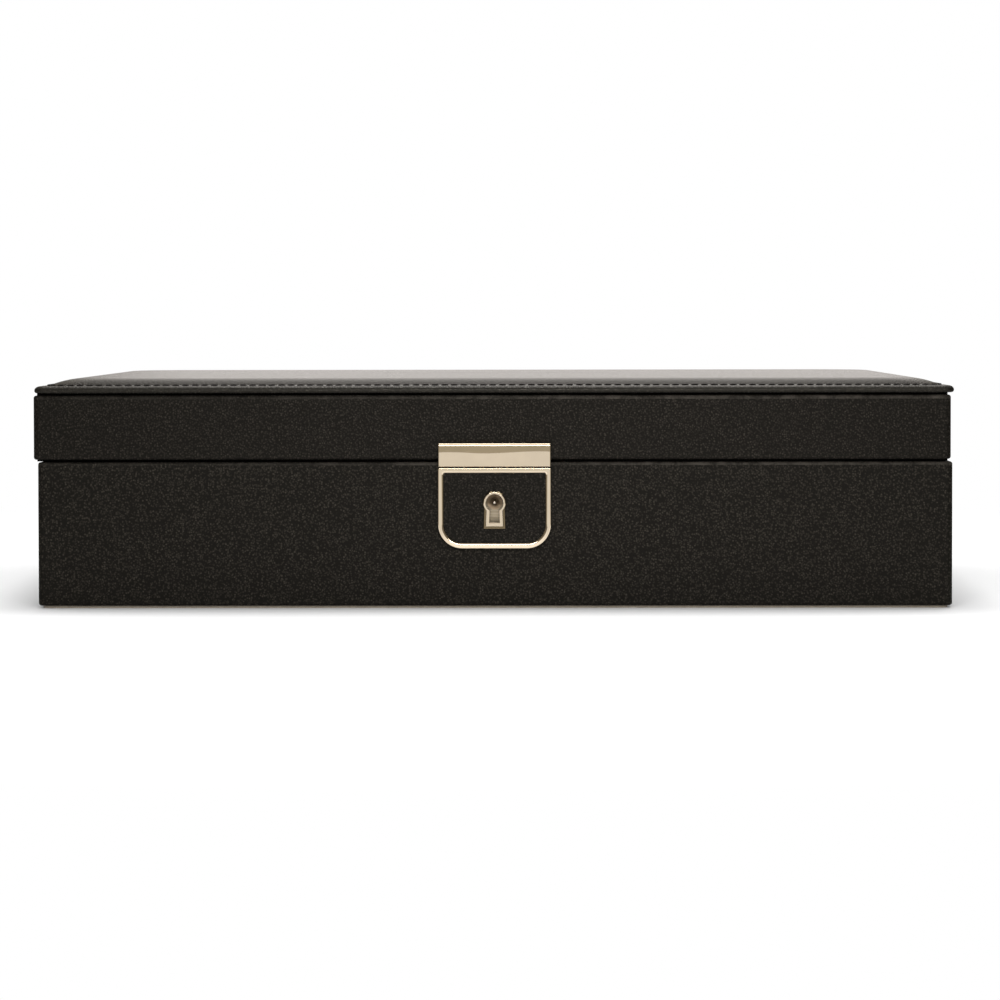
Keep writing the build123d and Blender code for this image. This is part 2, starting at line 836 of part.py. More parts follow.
# ---------------------------------------------------------------------------------------------
# Hinges
# ---------------------------------------------------------------------------------------------
def hinge_leaf_piece(x, upper):
    """One leaf with its share of the knuckles: the case's leaf has the outer ones."""
    z0 = lid_leaf_foot if upper else case_leaf_top - hinge_leaf
    z1 = z0 + hinge_leaf
    leaf = block(x - hinge_length / 2, x + hinge_length / 2, hinge_leaf_front, hinge_plate_back, z0, z1)
    pitch = hinge_length / hinge_knuckles
    for number in range(1 if upper else 0, hinge_knuckles, 2):
        start = x - hinge_length / 2 + number * pitch + clearance / 2
        end = start + pitch - clearance
        leaf += block(start, end, hinge_plate_back - clearance, hinge_y, z0, z1)
        leaf += along_x(hinge_y, hinge_z, hinge_knuckle_radius, start, end)
    bore = hinge_pin_radius + hinge_pin_clearance
    leaf -= along_x(hinge_y, hinge_z, bore, x - hinge_length, x + hinge_length)
    holes = lid_hinge_screws if upper else case_hinge_screws
    return cut_all(leaf, screw_holes([place for place in holes if abs(place[0] - x) < hinge_length / 2]))


def hinge_pins():
    half = hinge_length / 2
    return group(along_x(hinge_y, hinge_z, hinge_pin_radius, x - half, x + half) for x in hinge_places)


# ---------------------------------------------------------------------------------------------
# Clasp and lock
# ---------------------------------------------------------------------------------------------
def clasp_bar():
    half = bar_width / 2
    bar = block(-half, half, bar_back - bar_thickness, bar_back, bar_foot, bar_foot + bar_height)
    front = bar.faces().sort_by(Axis.Y)[0]
    top_edge = front.edges().sort_by(Axis.Z)[-1]
    bar = fillet(top_edge, bar_top_radius)
    front = bar.faces().sort_by(Axis.Y)[0]
    bar = fillet(front.edges().sort_by(Axis.Z)[:-1], bar_edge_radius)
    for x, z in bar_studs_at:
        stud_end = lid_half_depth - bar_stud_length
        bar += along_y(x, z, bar_stud_radius, stud_end, lid_half_depth + bar_thickness / 2)
    return bar


def lock_bezel():
    frame = towards_front(plate_outline(), half_depth, half_depth + bezel_thickness)
    frame = fillet(frame.faces().sort_by(Axis.Y)[0].edges(), bezel_edge_radius)
    opening = plate_outline(bezel_width)
    frame -= towards_front(opening, half_depth - overcut, half_depth + bezel_thickness + overcut)
    inner = frame.faces().sort_by(Axis.Y)[0].inner_wires()[0].edges()
    return fillet(inner, bezel_inner_radius)


def lock_backplate():
    plate = towards_front(plate_outline(bezel_width + clearance / 2), half_depth, half_depth + backplate)
    for x, z in plate_pins_at:
        plate += along_y(x, z, plate_pin_radius, half_depth - plate_pin_length, half_depth + backplate / 2)
    return plate - towards_front(collar_outline(clearance / 2), half_depth - overcut, inlay_face)


def lock_inlay():
    panel = towards_front(plate_outline(bezel_width + clearance / 2), half_depth + backplate, inlay_face)
    return panel - towards_front(collar_outline(clearance / 2), half_depth, inlay_face + overcut)


def keyhole_collar():
    tube = towards_front(collar_outline(), lock_face, collar_face)
    tube = fillet(tube.faces().sort_by(Axis.Y)[0].edges(), collar_edge_radius)
    flange_outline = keyhole_outline(
        collar_lip_eye + collar_flange_eye, collar_lip_side + collar_flange_side,
        collar_lip_end + collar_flange_end,
    )
    flange = towards_front(flange_outline, inlay_face, inlay_face + collar_flange_thickness)
    collar = tube + flange
    return collar - towards_front(keyhole_outline(), lock_face - overcut, collar_face + overcut)


def lock_case():
    half = lock_width / 2
    case = block(-half, half, -lock_face, -lock_inner_face - lock_plate, lock_foot, lock_top)
    case -= block(
        -lock_half_inside, lock_half_inside, -lock_face + lock_plate, -lock_inner_face,
        lock_foot + lock_plate, lock_top + overcut,
    )
    case -= towards_front(keyhole_outline(), lock_inner_face, lock_face + overcut)
    # Two ledges that carry the bolt, clear of the key's swing
    ledge_top = bolt_bar_foot - clearance
    for x in (-keyhole_reach - ledge_width / 2, keyhole_reach + ledge_width):
        case += block(
            x, x + ledge_width, -lock_face + lock_plate / 2, -lock_inner_face - lock_plate - clearance,
            ledge_top - hook_foot_height, ledge_top,
        )
    return case


def lock_cap():
    half = lock_width / 2
    cap = block(-half, half, -lock_inner_face - lock_plate, -lock_inner_face, lock_foot, lock_top)
    dish = Cone(key_pin_recess_radius, key_pin_hole_radius, lock_plate)
    middle = lock_inner_face + lock_plate / 2
    return cap - Pos(0, -middle, keyhole_z) * Rot(-90, 0, 0) * dish


def key_pin():
    flange_back = lock_inner_face - key_pin_flange
    pin = along_y(0, keyhole_z, key_pin_radius, flange_back, collar_face - key_pin_setback)
    pin = fillet(pin.faces().sort_by(Axis.Y)[0].edges(), key_pin_radius / 2)
    return pin + along_y(0, keyhole_z, key_pin_flange_radius, flange_back, lock_inner_face)


def hook_slots():
    """Where the two hooks pass through the rim plate."""
    slots = []
    for number in range(2):
        left = first_hook + number * hook_pitch
        slots.append(block(
            left - running_gap, left + hook_stem + hook_foot + running_gap,
            bolt_middle - lock_room / 2, bolt_middle + lock_room / 2,
            rim_plate_foot - overcut, case_top + overcut,
        ))
    return slots


def lock_rim_plate():
    return cut_all(rim_mortise(rim_plate_foot, case_top, grow=0.0), hook_slots() + screw_holes(rim_screws))


def strike_plate():
    plate = rim_mortise(lid_foot, lid_foot + rim_plate_thickness, grow=0.0)
    plate = cut_all(plate, screw_holes(strike_screws_at))
    back, front = bolt_middle + bolt_thickness / 2, bolt_middle - bolt_thickness / 2
    for number in range(2):
        left = first_hook + number * hook_pitch
        plate += block(left, left + hook_stem, front, back, hook_foot_z, lid_foot + rim_plate_thickness / 2)
        plate += block(
            left, left + hook_stem + hook_foot, front, back, hook_foot_z, hook_foot_z + hook_foot_height
        )
    return plate


def lock_bolt():
    """The bolt: a bar under the hooks' feet and a nose beside each hook, which slides left over its foot."""
    back, front = bolt_middle + bolt_thickness / 2, bolt_middle - bolt_thickness / 2
    foot_end = first_hook + hook_stem + hook_foot
    second_foot_end = foot_end + hook_pitch
    first_riser = foot_end + bolt_travel + bolt_gap
    second_riser = second_foot_end + bolt_travel + bolt_gap
    second_stem = first_hook + hook_pitch
    right_end = lock_half_inside - clearance
    bolt = block(foot_end + bolt_gap, right_end, front, back, bolt_bar_foot, bolt_bar_top)
    bolt += block(first_riser, second_stem - bolt_gap, front, back, bolt_bar_foot, nose_top)
    bolt += block(foot_end + bolt_gap, second_stem - bolt_gap, front, back, nose_foot, nose_top)
    bolt += block(second_riser, right_end, front, back, bolt_bar_foot, nose_top)
    bolt += block(second_foot_end + bolt_gap, right_end, front, back, nose_foot, nose_top)
    talon = block(
        -talon_width / 2, talon_width / 2, front - overcut, back + overcut,
        bolt_bar_foot - overcut, bolt_bar_foot + talon_height,
    )
    return bolt - talon


# ---------------------------------------------------------------------------------------------
# Pieces, one file each
# ---------------------------------------------------------------------------------------------
pieces = {
    "case_front_board": case_front_board(),
    "case_back_board": case_back_board(),
    "case_left_board": case_left_board(),
    "case_right_board": case_right_board(),
    "case_floor_board": case_floor_board(),
    "case_leather": case_leather(),
    "base_felt": base_felt(),
    "drawer_guides": drawer_guides(),
    "tray_shelf": tray_shelf(),
    "tray_liner": tray_liner(),
    "tray_floor_suede": tray_floor_suede(),
    "cell_pads": cell_pads(),
    "long_pad": long_pad(),
    "lock_bezel": lock_bezel(),
    "lock_backplate": lock_backplate(),
    "lock_inlay": lock_inlay(),
    "keyhole_collar": keyhole_collar(),
    "lock_case": lock_case(),
    "lock_cap": lock_cap(),
    "key_pin": key_pin(),
    "lock_rim_plate": lock_rim_plate(),
    "rim_plate_screws": group(slotted_screw(*place) for place in rim_screws),
    "lock_bolt": lock_bolt(),
    "hinge_leaf_case_left": hinge_leaf_piece(hinge_places[0], False),
    "hinge_leaf_case_right": hinge_leaf_piece(hinge_places[1], False),
    "hinge_leaf_lid_left": hinge_leaf_piece(hinge_places[0], True),
    "hinge_leaf_lid_right": hinge_leaf_piece(hinge_places[1], True),
    "hinge_pins": hinge_pins(),
    "hinge_screws_case": group(slotted_screw(*place) for place in case_hinge_screws),
    "hinge_screws_lid": group(slotted_screw(*place) for place in lid_hinge_screws),
    "lid_front_rail": lid_front_rail(),
    "lid_back_rail": lid_back_rail(),
    "lid_left_rail": lid_side_rail(-1),
    "lid_right_rail": lid_side_rail(1),
    "lid_top_board": lid_board(),
    "lid_leather": lid_leather(),
    "lid_panel_card": lid_card(),
    "lid_foam": lid_foam(),
    "lid_top_leather": lid_top_leather(),
    "lid_lining": lid_lining_suede(),
    "clasp_bar": clasp_bar(),
    "strike_plate": strike_plate(),
    "strike_screws": group(slotted_screw(*place) for place in strike_screws_at),
    "drawer_front_board": drawer_front(),
    "drawer_front_leather": drawer_front_leather(),
    "drawer_sides": drawer_sides(),
    "drawer_end_board": drawer_end(),
    "drawer_bottom": drawer_bottom(),
    "drawer_lining": drawer_lining(),
    "drawer_dividers": drawer_dividers(),
    "pull_cup": pull_cup(),
    "pull_bail": pull_bail(),
}
for row in range(cell_rows):
    pieces[f"tray_divider_long_{row + 1}"] = tray_divider_long(row)
for column in range(cell_columns - 1):
    pieces[f"tray_divider_cross_{column + 1}"] = tray_divider_cross(column)

os.makedirs("parts", exist_ok=True)
for name, piece in pieces.items():
    export_step(piece, f"parts/{name}.step")
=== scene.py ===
"""A leather cufflink box with a padded, stitched lid, a pale gold lock and a drawer in its side."""
import json
import math
import random

import bmesh
import bpy
import numpy as np
from mathutils import Matrix, Vector

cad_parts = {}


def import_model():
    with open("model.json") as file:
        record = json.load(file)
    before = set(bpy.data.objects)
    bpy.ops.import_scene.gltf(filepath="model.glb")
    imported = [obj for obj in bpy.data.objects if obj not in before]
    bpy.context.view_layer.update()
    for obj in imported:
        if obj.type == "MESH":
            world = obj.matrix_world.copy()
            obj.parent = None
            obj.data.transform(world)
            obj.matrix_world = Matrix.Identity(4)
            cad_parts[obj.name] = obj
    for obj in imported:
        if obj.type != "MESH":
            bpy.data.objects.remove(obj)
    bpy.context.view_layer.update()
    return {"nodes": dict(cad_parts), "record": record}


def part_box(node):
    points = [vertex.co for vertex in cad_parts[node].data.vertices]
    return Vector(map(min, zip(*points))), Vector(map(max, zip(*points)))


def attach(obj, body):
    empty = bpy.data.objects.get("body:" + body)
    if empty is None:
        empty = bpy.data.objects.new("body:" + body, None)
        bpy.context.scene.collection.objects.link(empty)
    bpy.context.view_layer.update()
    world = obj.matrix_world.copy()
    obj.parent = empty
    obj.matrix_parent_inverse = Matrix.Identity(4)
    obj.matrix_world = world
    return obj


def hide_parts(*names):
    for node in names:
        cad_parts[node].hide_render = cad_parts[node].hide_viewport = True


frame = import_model()
nodes = frame["nodes"]

MM = 0.001

# ---------------------------------------------------------------------------------------------
# Sizes read from the frame, in metres
# ---------------------------------------------------------------------------------------------
PANEL_LOW, PANEL_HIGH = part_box("lid_top_leather")
PANEL_MIDDLE = (PANEL_LOW + PANEL_HIGH) / 2
PANEL_HALF_X = (PANEL_HIGH.x - PANEL_LOW.x) / 2
PANEL_HALF_Y = (PANEL_HIGH.y - PANEL_LOW.y) / 2
PANEL_FOOT = PANEL_LOW.z
CARD_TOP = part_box("lid_panel_card")[1].z
LID_SKIN_LOW, LID_SKIN_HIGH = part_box("lid_leather")
RAIL_LOW, RAIL_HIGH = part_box("lid_front_rail")
KEY_PIN_LOW, KEY_PIN_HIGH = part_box("key_pin")
KEYWAY_X = (KEY_PIN_LOW.x + KEY_PIN_HIGH.x) / 2
KEYWAY_Z = (KEY_PIN_LOW.z + KEY_PIN_HIGH.z) / 2
COLLAR_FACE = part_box("keyhole_collar")[0].y
CASE_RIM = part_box("case_leather")[1].z

# ---------------------------------------------------------------------------------------------
# Sizes of what is sewn and padded, in metres
# ---------------------------------------------------------------------------------------------
LEATHER_THICKNESS = 1.0 * MM
PANEL_LEATHER = 0.8 * MM
PANEL_CORNER = 2.4 * MM
TURNED_IN = 5.0 * MM                 # how far the cover is turned in under its card
LIP_TOP = CARD_TOP + PANEL_LEATHER
LIP_FOOT_ROUND = 0.75 * MM
LIP_ROUND_IN = 1.6 * MM              # how far the round of the lip's top reaches inwards
LIP_ROUND_DOWN = 1.3 * MM            # and down its side
LIP_SWELL = 0.12 * MM                # how much higher the lip is at the seam than at its round
SEAM_INSET = 3.3 * MM                # from the panel's edge to the stitches
SEAM_DEPTH = 0.2 * MM
SEAM_WIDTH = 0.75 * MM               # to either side of the stitches
SEAM_SHALLOWS = 0.55                 # of its depth that the groove has halfway along a stitch
SEAM_DIPS = 0.75                     # and how much more of it at the holes
CROWN_REACH = 10.5 * MM              # from the stitches to where the padding is at its height
CROWN_HEIGHT = PANEL_HIGH.z - LIP_TOP
CROWN_POWER = 2.2
CROWN_RING_GROWTH = 1.16             # each ring of the padding's slope is this many times as far in
CROWN_RING_STEP = 0.1 * MM           # as the last one, and this much more
MIDDLE_SLOT = 0.5 * MM               # from the innermost ring to the panel's middle line
DOME = 0.3 * MM                      # how much higher the padding is in the panel's middle
STITCH_PITCH = 3.0 * MM
STITCH_LENGTH = 2.2 * MM
STITCH_WANDER = 0.03                 # of a pitch
STITCH_SHARES = (-0.5, -0.42, -0.25, 0, 0.25, 0.42, 0.5)    # of its length, from its middle
STITCH_SUNK = 0.05 * MM              # how far the thread is pressed into the leather
STITCH_DIP = 7.0                     # how steeply its ends go down into their holes
STITCH_DIP_POWER = 3.2
THREAD_RADIUS = 0.28 * MM
THREAD_END = 0.35                    # of its radius that a thread's end keeps

PAD_CORNER = 2.6 * MM
PAD_CORNER_GROWTH = 0.6              # of the inset, towards the pad's middle
PAD_SIDE = ((0.7 * MM, 0.0), (0.2 * MM, 0.1), (0, 0.24), (0.1 * MM, 0.34))    # inset, share of height
PAD_EDGE = 0.4 * MM                  # how far in from a pad's side its crown starts
PAD_EDGE_SHARE = 0.32                # and at what share of the pad's height
PAD_CROWN_REACH = 9.0 * MM           # how far in from there it is at its height
PAD_DRAW_IN = 0.35 * MM              # how far the sides are drawn in between the corners
PAD_SPACING = 1.2 * MM               # between the points round a pad
PUCKER_PITCH = 5.0 * MM
PUCKER_DEPTH = 0.22 * MM
PUCKER_REACH = 5.0 * MM
PUCKERED_ABOVE = 0.3                 # of the pad's height


# ---------------------------------------------------------------------------------------------
# Node trees
# ---------------------------------------------------------------------------------------------
class Nodes:
    """A node tree, with short calls for the nodes that this scene uses."""

    def __init__(self, tree):
        self.tree = tree

    def add(self, kind, **settings):
        """A new node with its settings."""
        node = self.tree.nodes.new(kind)
        for name, value in settings.items():
            setattr(node, name, value)
        return node

    def link(self, source, target):
        """Joins a node's output to a socket."""
        self.tree.links.new(source, target)

    def feed(self, target, value):
        """Gives a socket another node's output, a colour, a vector or a number."""
        if isinstance(value, bpy.types.NodeSocket):
            self.link(value, target)
        elif target.type == "RGBA":
            target.default_value = (*value, 1)
        else:
            target.default_value = value

    def feed_all(self, node, values):
        """Gives a node's first sockets their values, in order."""
        for target, value in zip(node.inputs, values):
            self.feed(target, value)

    def math(self, operation, *values):
        """Arithmetic on numbers."""
        node = self.add("ShaderNodeMath", operation=operation)
        self.feed_all(node, values)
        return node.outputs[0]

    def vector_math(self, operation, *values):
        """Vector arithmetic, which gives a number for a length or a dot product."""
        node = self.add("ShaderNodeVectorMath", operation=operation)
        self.feed_all(node, values)
        return node.outputs["Value" if operation in ("LENGTH", "DOT_PRODUCT") else "Vector"]

    def weighted(self, *pairs):
        """The sum of values, each times its weight."""
        total = 0.0
        for value, weight in pairs:
            total = self.math("MULTIPLY_ADD", value, weight, total)
        return total

    def axis(self, vector, name):
        """One of a vector's three numbers."""
        split = self.add("ShaderNodeSeparateXYZ")
        self.link(vector, split.inputs[0])
        return split.outputs[name]

    def first_channel(self, colour):
        """The first of a colour's three numbers."""
        split = self.add("ShaderNodeSeparateColor")
        self.link(colour, split.inputs[0])
        return split.outputs[0]

    def between(self, value, low, high, to_low=0.0, to_high=1.0):
        """An eased step from to_low to to_high, as the value goes from low to high."""
        node = self.add("ShaderNodeMapRange", interpolation_type="SMOOTHSTEP")
        self.feed_all(node, (value, low, high, to_low, to_high))
        return node.outputs["Result"]

    def mix(self, factor, a, b):
        """A colour between two others."""
        node = self.add("ShaderNodeMix", data_type="RGBA")
        self.link(factor, node.inputs["Factor"])
        for name, colour in (("A", a), ("B", b)):
            self.feed(next(s for s in node.inputs if s.name == name and s.type == "RGBA"), colour)
        return next(s for s in node.outputs if s.type == "RGBA")

    def plain(self, kind, colour, strength=None):
        """A surface or a light of one colour."""
        node = self.add(kind)
        self.feed(node.inputs["Color"], colour)
        if strength is not None:
            self.feed(node.inputs["Strength"], strength)
        return node.outputs[0]

    def mix_shaders(self, factor, a, b):
        """A surface or a light between two others."""
        node = self.add("ShaderNodeMixShader")
        self.feed_all(node, (factor, a, b))
        return node.outputs[0]

    def ray_is(self, *kinds):
        """1 for a ray of one of these kinds, and 0 for any other."""
        path = self.add("ShaderNodeLightPath")
        result = path.outputs[kinds[0]]
        for kind in kinds[1:]:
            result = self.math("MAXIMUM", result, path.outputs[kind])
        return result


class Shader(Nodes):
    """A material of the object, with calls for its textures and its surface."""

    def __init__(self, name):
        self.material = bpy.data.materials.new(name)
        self.material.use_nodes = True
        super().__init__(self.material.node_tree)
        self.surface = self.tree.nodes["Principled BSDF"]
        self.where = self.add("ShaderNodeTexCoord").outputs["Object"]

    def place(self, name):
        """One of the place's three numbers, with the box at rest."""
        return self.axis(self.where, name)

    def stretch(self, x, y, z):
        """Coordinates scaled along the axes."""
        mapping = self.add("ShaderNodeMapping")
        mapping.inputs["Scale"].default_value = (x, y, z)
        self.link(self.where, mapping.inputs["Vector"])
        return mapping.outputs["Vector"]

    def noise_outputs(self, scale, detail, roughness, vector):
        """The outputs of a noise texture, of so many features to a metre."""
        node = self.add("ShaderNodeTexNoise")
        node.inputs["Scale"].default_value = scale
        node.inputs["Detail"].default_value = detail
        node.inputs["Roughness"].default_value = roughness
        self.link(vector or self.where, node.inputs["Vector"])
        return node.outputs

    def noise(self, scale, detail=2.0, roughness=0.5, vector=None):
        """Noise about 0.5, at the object's own place or at given coordinates."""
        return self.noise_outputs(scale, detail, roughness, vector)["Fac"]

    def warped(self, scale, amount):
        """Coordinates pushed about by noise, in metres."""
        push = self.noise_outputs(scale, 2.0, 0.5, None)["Color"]
        return self.vector_math("MULTIPLY_ADD", push, (amount, amount, amount), self.where)

    def cells(self, scale, vector=None):
        """Cells of uneven shape, with the Distance from a cell's middle and the cell's own random Color."""
        node = self.add("ShaderNodeTexVoronoi")
        node.inputs["Scale"].default_value = scale
        self.link(vector or self.where, node.inputs["Vector"])
        return node.outputs

    def height_band(self, low, high):
        """1 from one height to another, and 0 elsewhere."""
        return self.math("COMPARE", self.place("Z"), (low + high) / 2, (high - low) / 2)

    def from_line(self, x, z):
        """The distance from a line along Y."""
        offset = self.vector_math("SUBTRACT", self.where, (x, 0, z))
        return self.vector_math("LENGTH", self.vector_math("MULTIPLY", offset, (1, 0, 1)))

    def colour(self, source):
        """Gives the surface its colour."""
        self.link(source, self.surface.inputs["Base Color"])

    def roughness(self, source):
        """Gives the surface its roughness."""
        self.link(source, self.surface.inputs["Roughness"])

    def bump(self, height, distance, strength=1.0):
        """Adds relief under whatever relief the surface has."""
        node = self.add("ShaderNodeBump")
        node.inputs["Distance"].default_value = distance
        node.inputs["Strength"].default_value = strength
        self.link(height, node.inputs["Height"])
        normal = self.surface.inputs["Normal"]
        if normal.is_linked:
            self.link(normal.links[0].from_socket, node.inputs["Normal"])
        self.link(node.outputs["Normal"], normal)

    def set(self, **values):
        """Sets the surface's own sockets, named in lower case with _ for a space."""
        for name, value in values.items():
            socket = name.replace("_", " ").title().replace("Ior", "IOR")
            self.surface.inputs[socket].default_value = value


def srgb(red, green, blue):
    """A colour given as 0 to 255 on screen, as linear light."""
    return tuple(
        c / 12.92 if c <= 0.04045 else ((c + 0.055) / 1.055) ** 2.4
        for c in (red / 255, green / 255, blue / 255)
    )


# ---------------------------------------------------------------------------------------------
# Materials
# ---------------------------------------------------------------------------------------------
GRAIN = 1500                         # the leather's pebbles to a metre
# painted shade: black painted on the grooves' walls and cut edges
GROOVE_PAINTED_SHADE = (0.0008, 0.0007, 0.0006)
# A painted highlight along the leather's upper edges
RIM_PAINTED_HIGHLIGHT = (62, 58, 53)
RIM_HIGHLIGHT_WIDTH = 1.0 * MM
RIM_HIGHLIGHT_FADES_LEFT = (-0.09, 0.0)        # along X: from where the painted highlight on the edges is a quarter to where it is full
POLISHED_SHARE = 0.43                # of its roughness that polished leather keeps
GOLD_PLATE = (0.685, 0.575, 0.43)
GOLD_CLOUDED = 0.94                  # of that colour that is left where the plate is clouded
GOLD_PAINTED_SHADE = (0.26, 0.24, 0.19)     # and where painted shade darkens it
STEEL_GRAIN = (0.3, 0.7)             # the noise from the dark to the light of a rolled sheet


def leather(name, painted_crease_shade=(14, 13, 11), pebble=(32, 29, 26), painted_glint=(50, 46, 41), relief=0.07 * MM,
            smooth=0.38, rough=0.6, specular=0.11, waviness=0.25, painted_groove_shade=(), painted_rim_highlights=(), polished_from=None):
    """Black leather: rounded pebbles of uneven size and tone, with painted shade in the creases between
    them.

    Pale pebbles get painted highlights, glints, on their tops. Shaded bands, given by their heights, are cut
    edges and grooves painted black as painted shade. Highlit bands are upper edges with a painted highlight,
    patchy and weaker to the left. Above polished_from the leather is pulled taut and polished by hands.
    """
    shader = Shader(name)
    cells = shader.cells(GRAIN, shader.warped(scale=500, amount=0.7 * MM))
    dome = shader.between(cells["Distance"], 0.75, 0.1)
    fine = shader.noise(GRAIN * 2.6, roughness=0.6)
    tone = shader.weighted((dome, 0.6), (fine, 0.4), (shader.noise(14, detail=3.0), 0.12))
    # painted shade: the tone darkens from the pebbles' domes into the creases, mixed with random tone
    colour = shader.mix(shader.between(tone, 0.3, 0.85), srgb(*painted_crease_shade), srgb(*pebble))
    # painted highlights: pale pebbles are painted lighter towards their tops, as glints
    pale_cell = shader.between(shader.first_channel(cells["Color"]), 0.5, 1.0)
    light = shader.math("MULTIPLY", pale_cell, shader.between(dome, 0.3, 1.0))
    colour = shader.mix(light, colour, srgb(*painted_glint))
    # painted shade: the grooves' walls and cut edges painted black
    for band in painted_groove_shade:
        colour = shader.mix(shader.height_band(*band), colour, GROOVE_PAINTED_SHADE)
    # painted highlight along upper edges: patchy, and a quarter as strong at the left
    for band in painted_rim_highlights:
        patchy = shader.between(shader.noise(260, detail=3.0, roughness=0.65), 0.35, 0.7, 0.15, 1.0)
        wear_and_highlight = shader.math("MULTIPLY", shader.height_band(*band), patchy)
        wear_and_highlight = shader.math("MULTIPLY", wear_and_highlight, shader.between(shader.place("X"), *RIM_HIGHLIGHT_FADES_LEFT, 0.25, 1.0))
        colour = shader.mix(wear_and_highlight, colour, srgb(*RIM_PAINTED_HIGHLIGHT))
    shader.colour(colour)
    roughness = shader.between(dome, 0.2, 0.9, rough, smooth)
    if polished_from is not None:
        polish_end = polished_from + 0.6 * MM
        kept = shader.between(shader.place("Z"), polished_from, polish_end, 1.0, POLISHED_SHARE)
        roughness = shader.math("MULTIPLY", roughness, kept)
    shader.roughness(roughness)
    shader.bump(shader.math("MULTIPLY_ADD", fine, 0.35, dome), relief, 0.9)
    shader.bump(shader.noise(90), 0.2 * MM, waviness)
    shader.set(specular_ior_level=specular, specular_tint=(1.0, 0.93, 0.8, 1))
    return shader.material


def gold(name, rough=0.008, painted_shade_behind=None):
    """Pale gold plate, polished, with hairline scratches and a face that isn't quite flat.

    Behind a given Y the plate is painted darker and browner, as painted shade on the recessed face there.
    """
    shader = Shader(name)
    cloud = shader.between(shader.noise(120), 0.3, 0.7)
    colour = shader.mix(cloud, GOLD_PLATE, tuple(c * GOLD_CLOUDED for c in GOLD_PLATE))
    if painted_shade_behind is not None:
        # painted shade: the recessed face behind the given Y is painted darker and browner
        behind = shader.between(shader.place("Y"), painted_shade_behind, painted_shade_behind + 0.15 * MM)
        painted_shade_colour = tuple(c * share for c, share in zip(GOLD_PLATE, GOLD_PAINTED_SHADE))
        colour = shader.mix(behind, colour, painted_shade_colour)
    shader.colour(colour)
    scratch = shader.noise(900, detail=4.0, roughness=0.7, vector=shader.stretch(0.35, 3.0, 3.0))
    shader.roughness(shader.between(scratch, 0.55, 0.8, rough, rough + 0.02))
    shader.bump(shader.noise(45, detail=1.0), 0.014 * MM)
    shader.set(metallic=1.0)
    return shader.material


def rolled_sheet(shader, dark, light):
    """The grain and the colour of rolled steel, with its roughness and relief set."""
    grain = shader.noise(700, detail=3.0, roughness=0.6, vector=shader.stretch(0.2, 1.0, 3.0))
    shader.roughness(shader.between(grain, *STEEL_GRAIN, 0.28, 0.45))
    shader.bump(grain, 0.02 * MM, 0.4)
    return grain, shader.mix(shader.between(grain, *STEEL_GRAIN), dark, light)


def steel(name):
    """Rolled steel of the lock's works."""
    shader = Shader(name)
    shader.colour(rolled_sheet(shader, (0.30, 0.27, 0.22), (0.46, 0.42, 0.35))[1])
    shader.set(metallic=1.0)
    return shader.material


def keyway_steel(name):
    """The lock's inner plate: rolled steel, brown in the dished hole round the pin, with painted shade near
    the pin.
    """
    shader = Shader(name)
    grain, plate = rolled_sheet(shader, (0.29, 0.245, 0.17), (0.44, 0.37, 0.28))
    # painted shade: darkest close to the pin, turning brown further out in the dish
    reach = shader.math("MULTIPLY_ADD", grain, 0.4 * MM, shader.from_line(KEYWAY_X, KEYWAY_Z))
    dish_with_painted_shade = shader.mix(shader.between(reach, 0.9 * MM, 2.2 * MM), (0.10, 0.05, 0.02), (0.78, 0.58, 0.38))
    outside_dish = shader.between(reach, 2.4 * MM, 2.9 * MM)
    shader.colour(shader.mix(outside_dish, dish_with_painted_shade, plate))
    shader.link(outside_dish, shader.surface.inputs["Metallic"])
    return shader.material


def pin_steel(name):
    """The key pin: uneven light steel at its end, and painted dark behind it as painted shade deep in the
    hole.
    """
    shader = Shader(name)
    wear_and_highlight = shader.between(shader.noise(1400), 0.3, 0.7)
    # painted shade: the pin darkens behind its end, deeper in the hole
    behind = shader.between(shader.place("Y"), KEY_PIN_LOW.y + 0.5 * MM, KEY_PIN_LOW.y + 1.5 * MM)
    bright = shader.mix(wear_and_highlight, (0.46, 0.40, 0.33), (0.58, 0.51, 0.43))
    shader.colour(shader.mix(behind, bright, (0.05, 0.035, 0.02)))
    shader.set(metallic=1.0, roughness=0.25)
    return shader.material


def suede(name):
    """Brushed suede cloth: a short nap that lies in soft patches."""
    shader = Shader(name)
    nap = shader.noise(1900, detail=5.0, roughness=0.75)
    strokes = shader.noise(160, detail=4.0, roughness=0.6, vector=shader.stretch(0.35, 1.0, 1.0))
    tone = shader.weighted((nap, 0.55), (strokes, 0.3), (shader.noise(28, detail=3.0), 0.15))
    shader.colour(shader.mix(shader.between(tone, 0.36, 0.64), srgb(96, 82, 70), srgb(132, 116, 101)))
    shader.bump(nap, 0.2 * MM, 0.8)
    shader.bump(strokes, 0.3 * MM, 0.25)
    shader.set(roughness=0.95, specular_ior_level=0.15, sheen_weight=0.35, sheen_roughness=0.5)
    return shader.material


def felt(name):
    """Pressed felt with short crossed fibres."""
    shader = Shader(name)
    along = shader.noise(1800, detail=5.0, roughness=0.75, vector=shader.stretch(0.4, 2.2, 1.0))
    across = shader.noise(1800, detail=5.0, roughness=0.75, vector=shader.stretch(2.2, 0.4, 1.0))
    fibres = shader.math("MAXIMUM", along, across)
    shader.colour(shader.mix(shader.between(fibres, 0.4, 0.8), srgb(146, 136, 121), srgb(184, 173, 156)))
    shader.bump(fibres, 0.3 * MM, 0.8)
    shader.set(roughness=1.0, specular_ior_level=0.1, sheen_weight=0.2)
    return shader.material


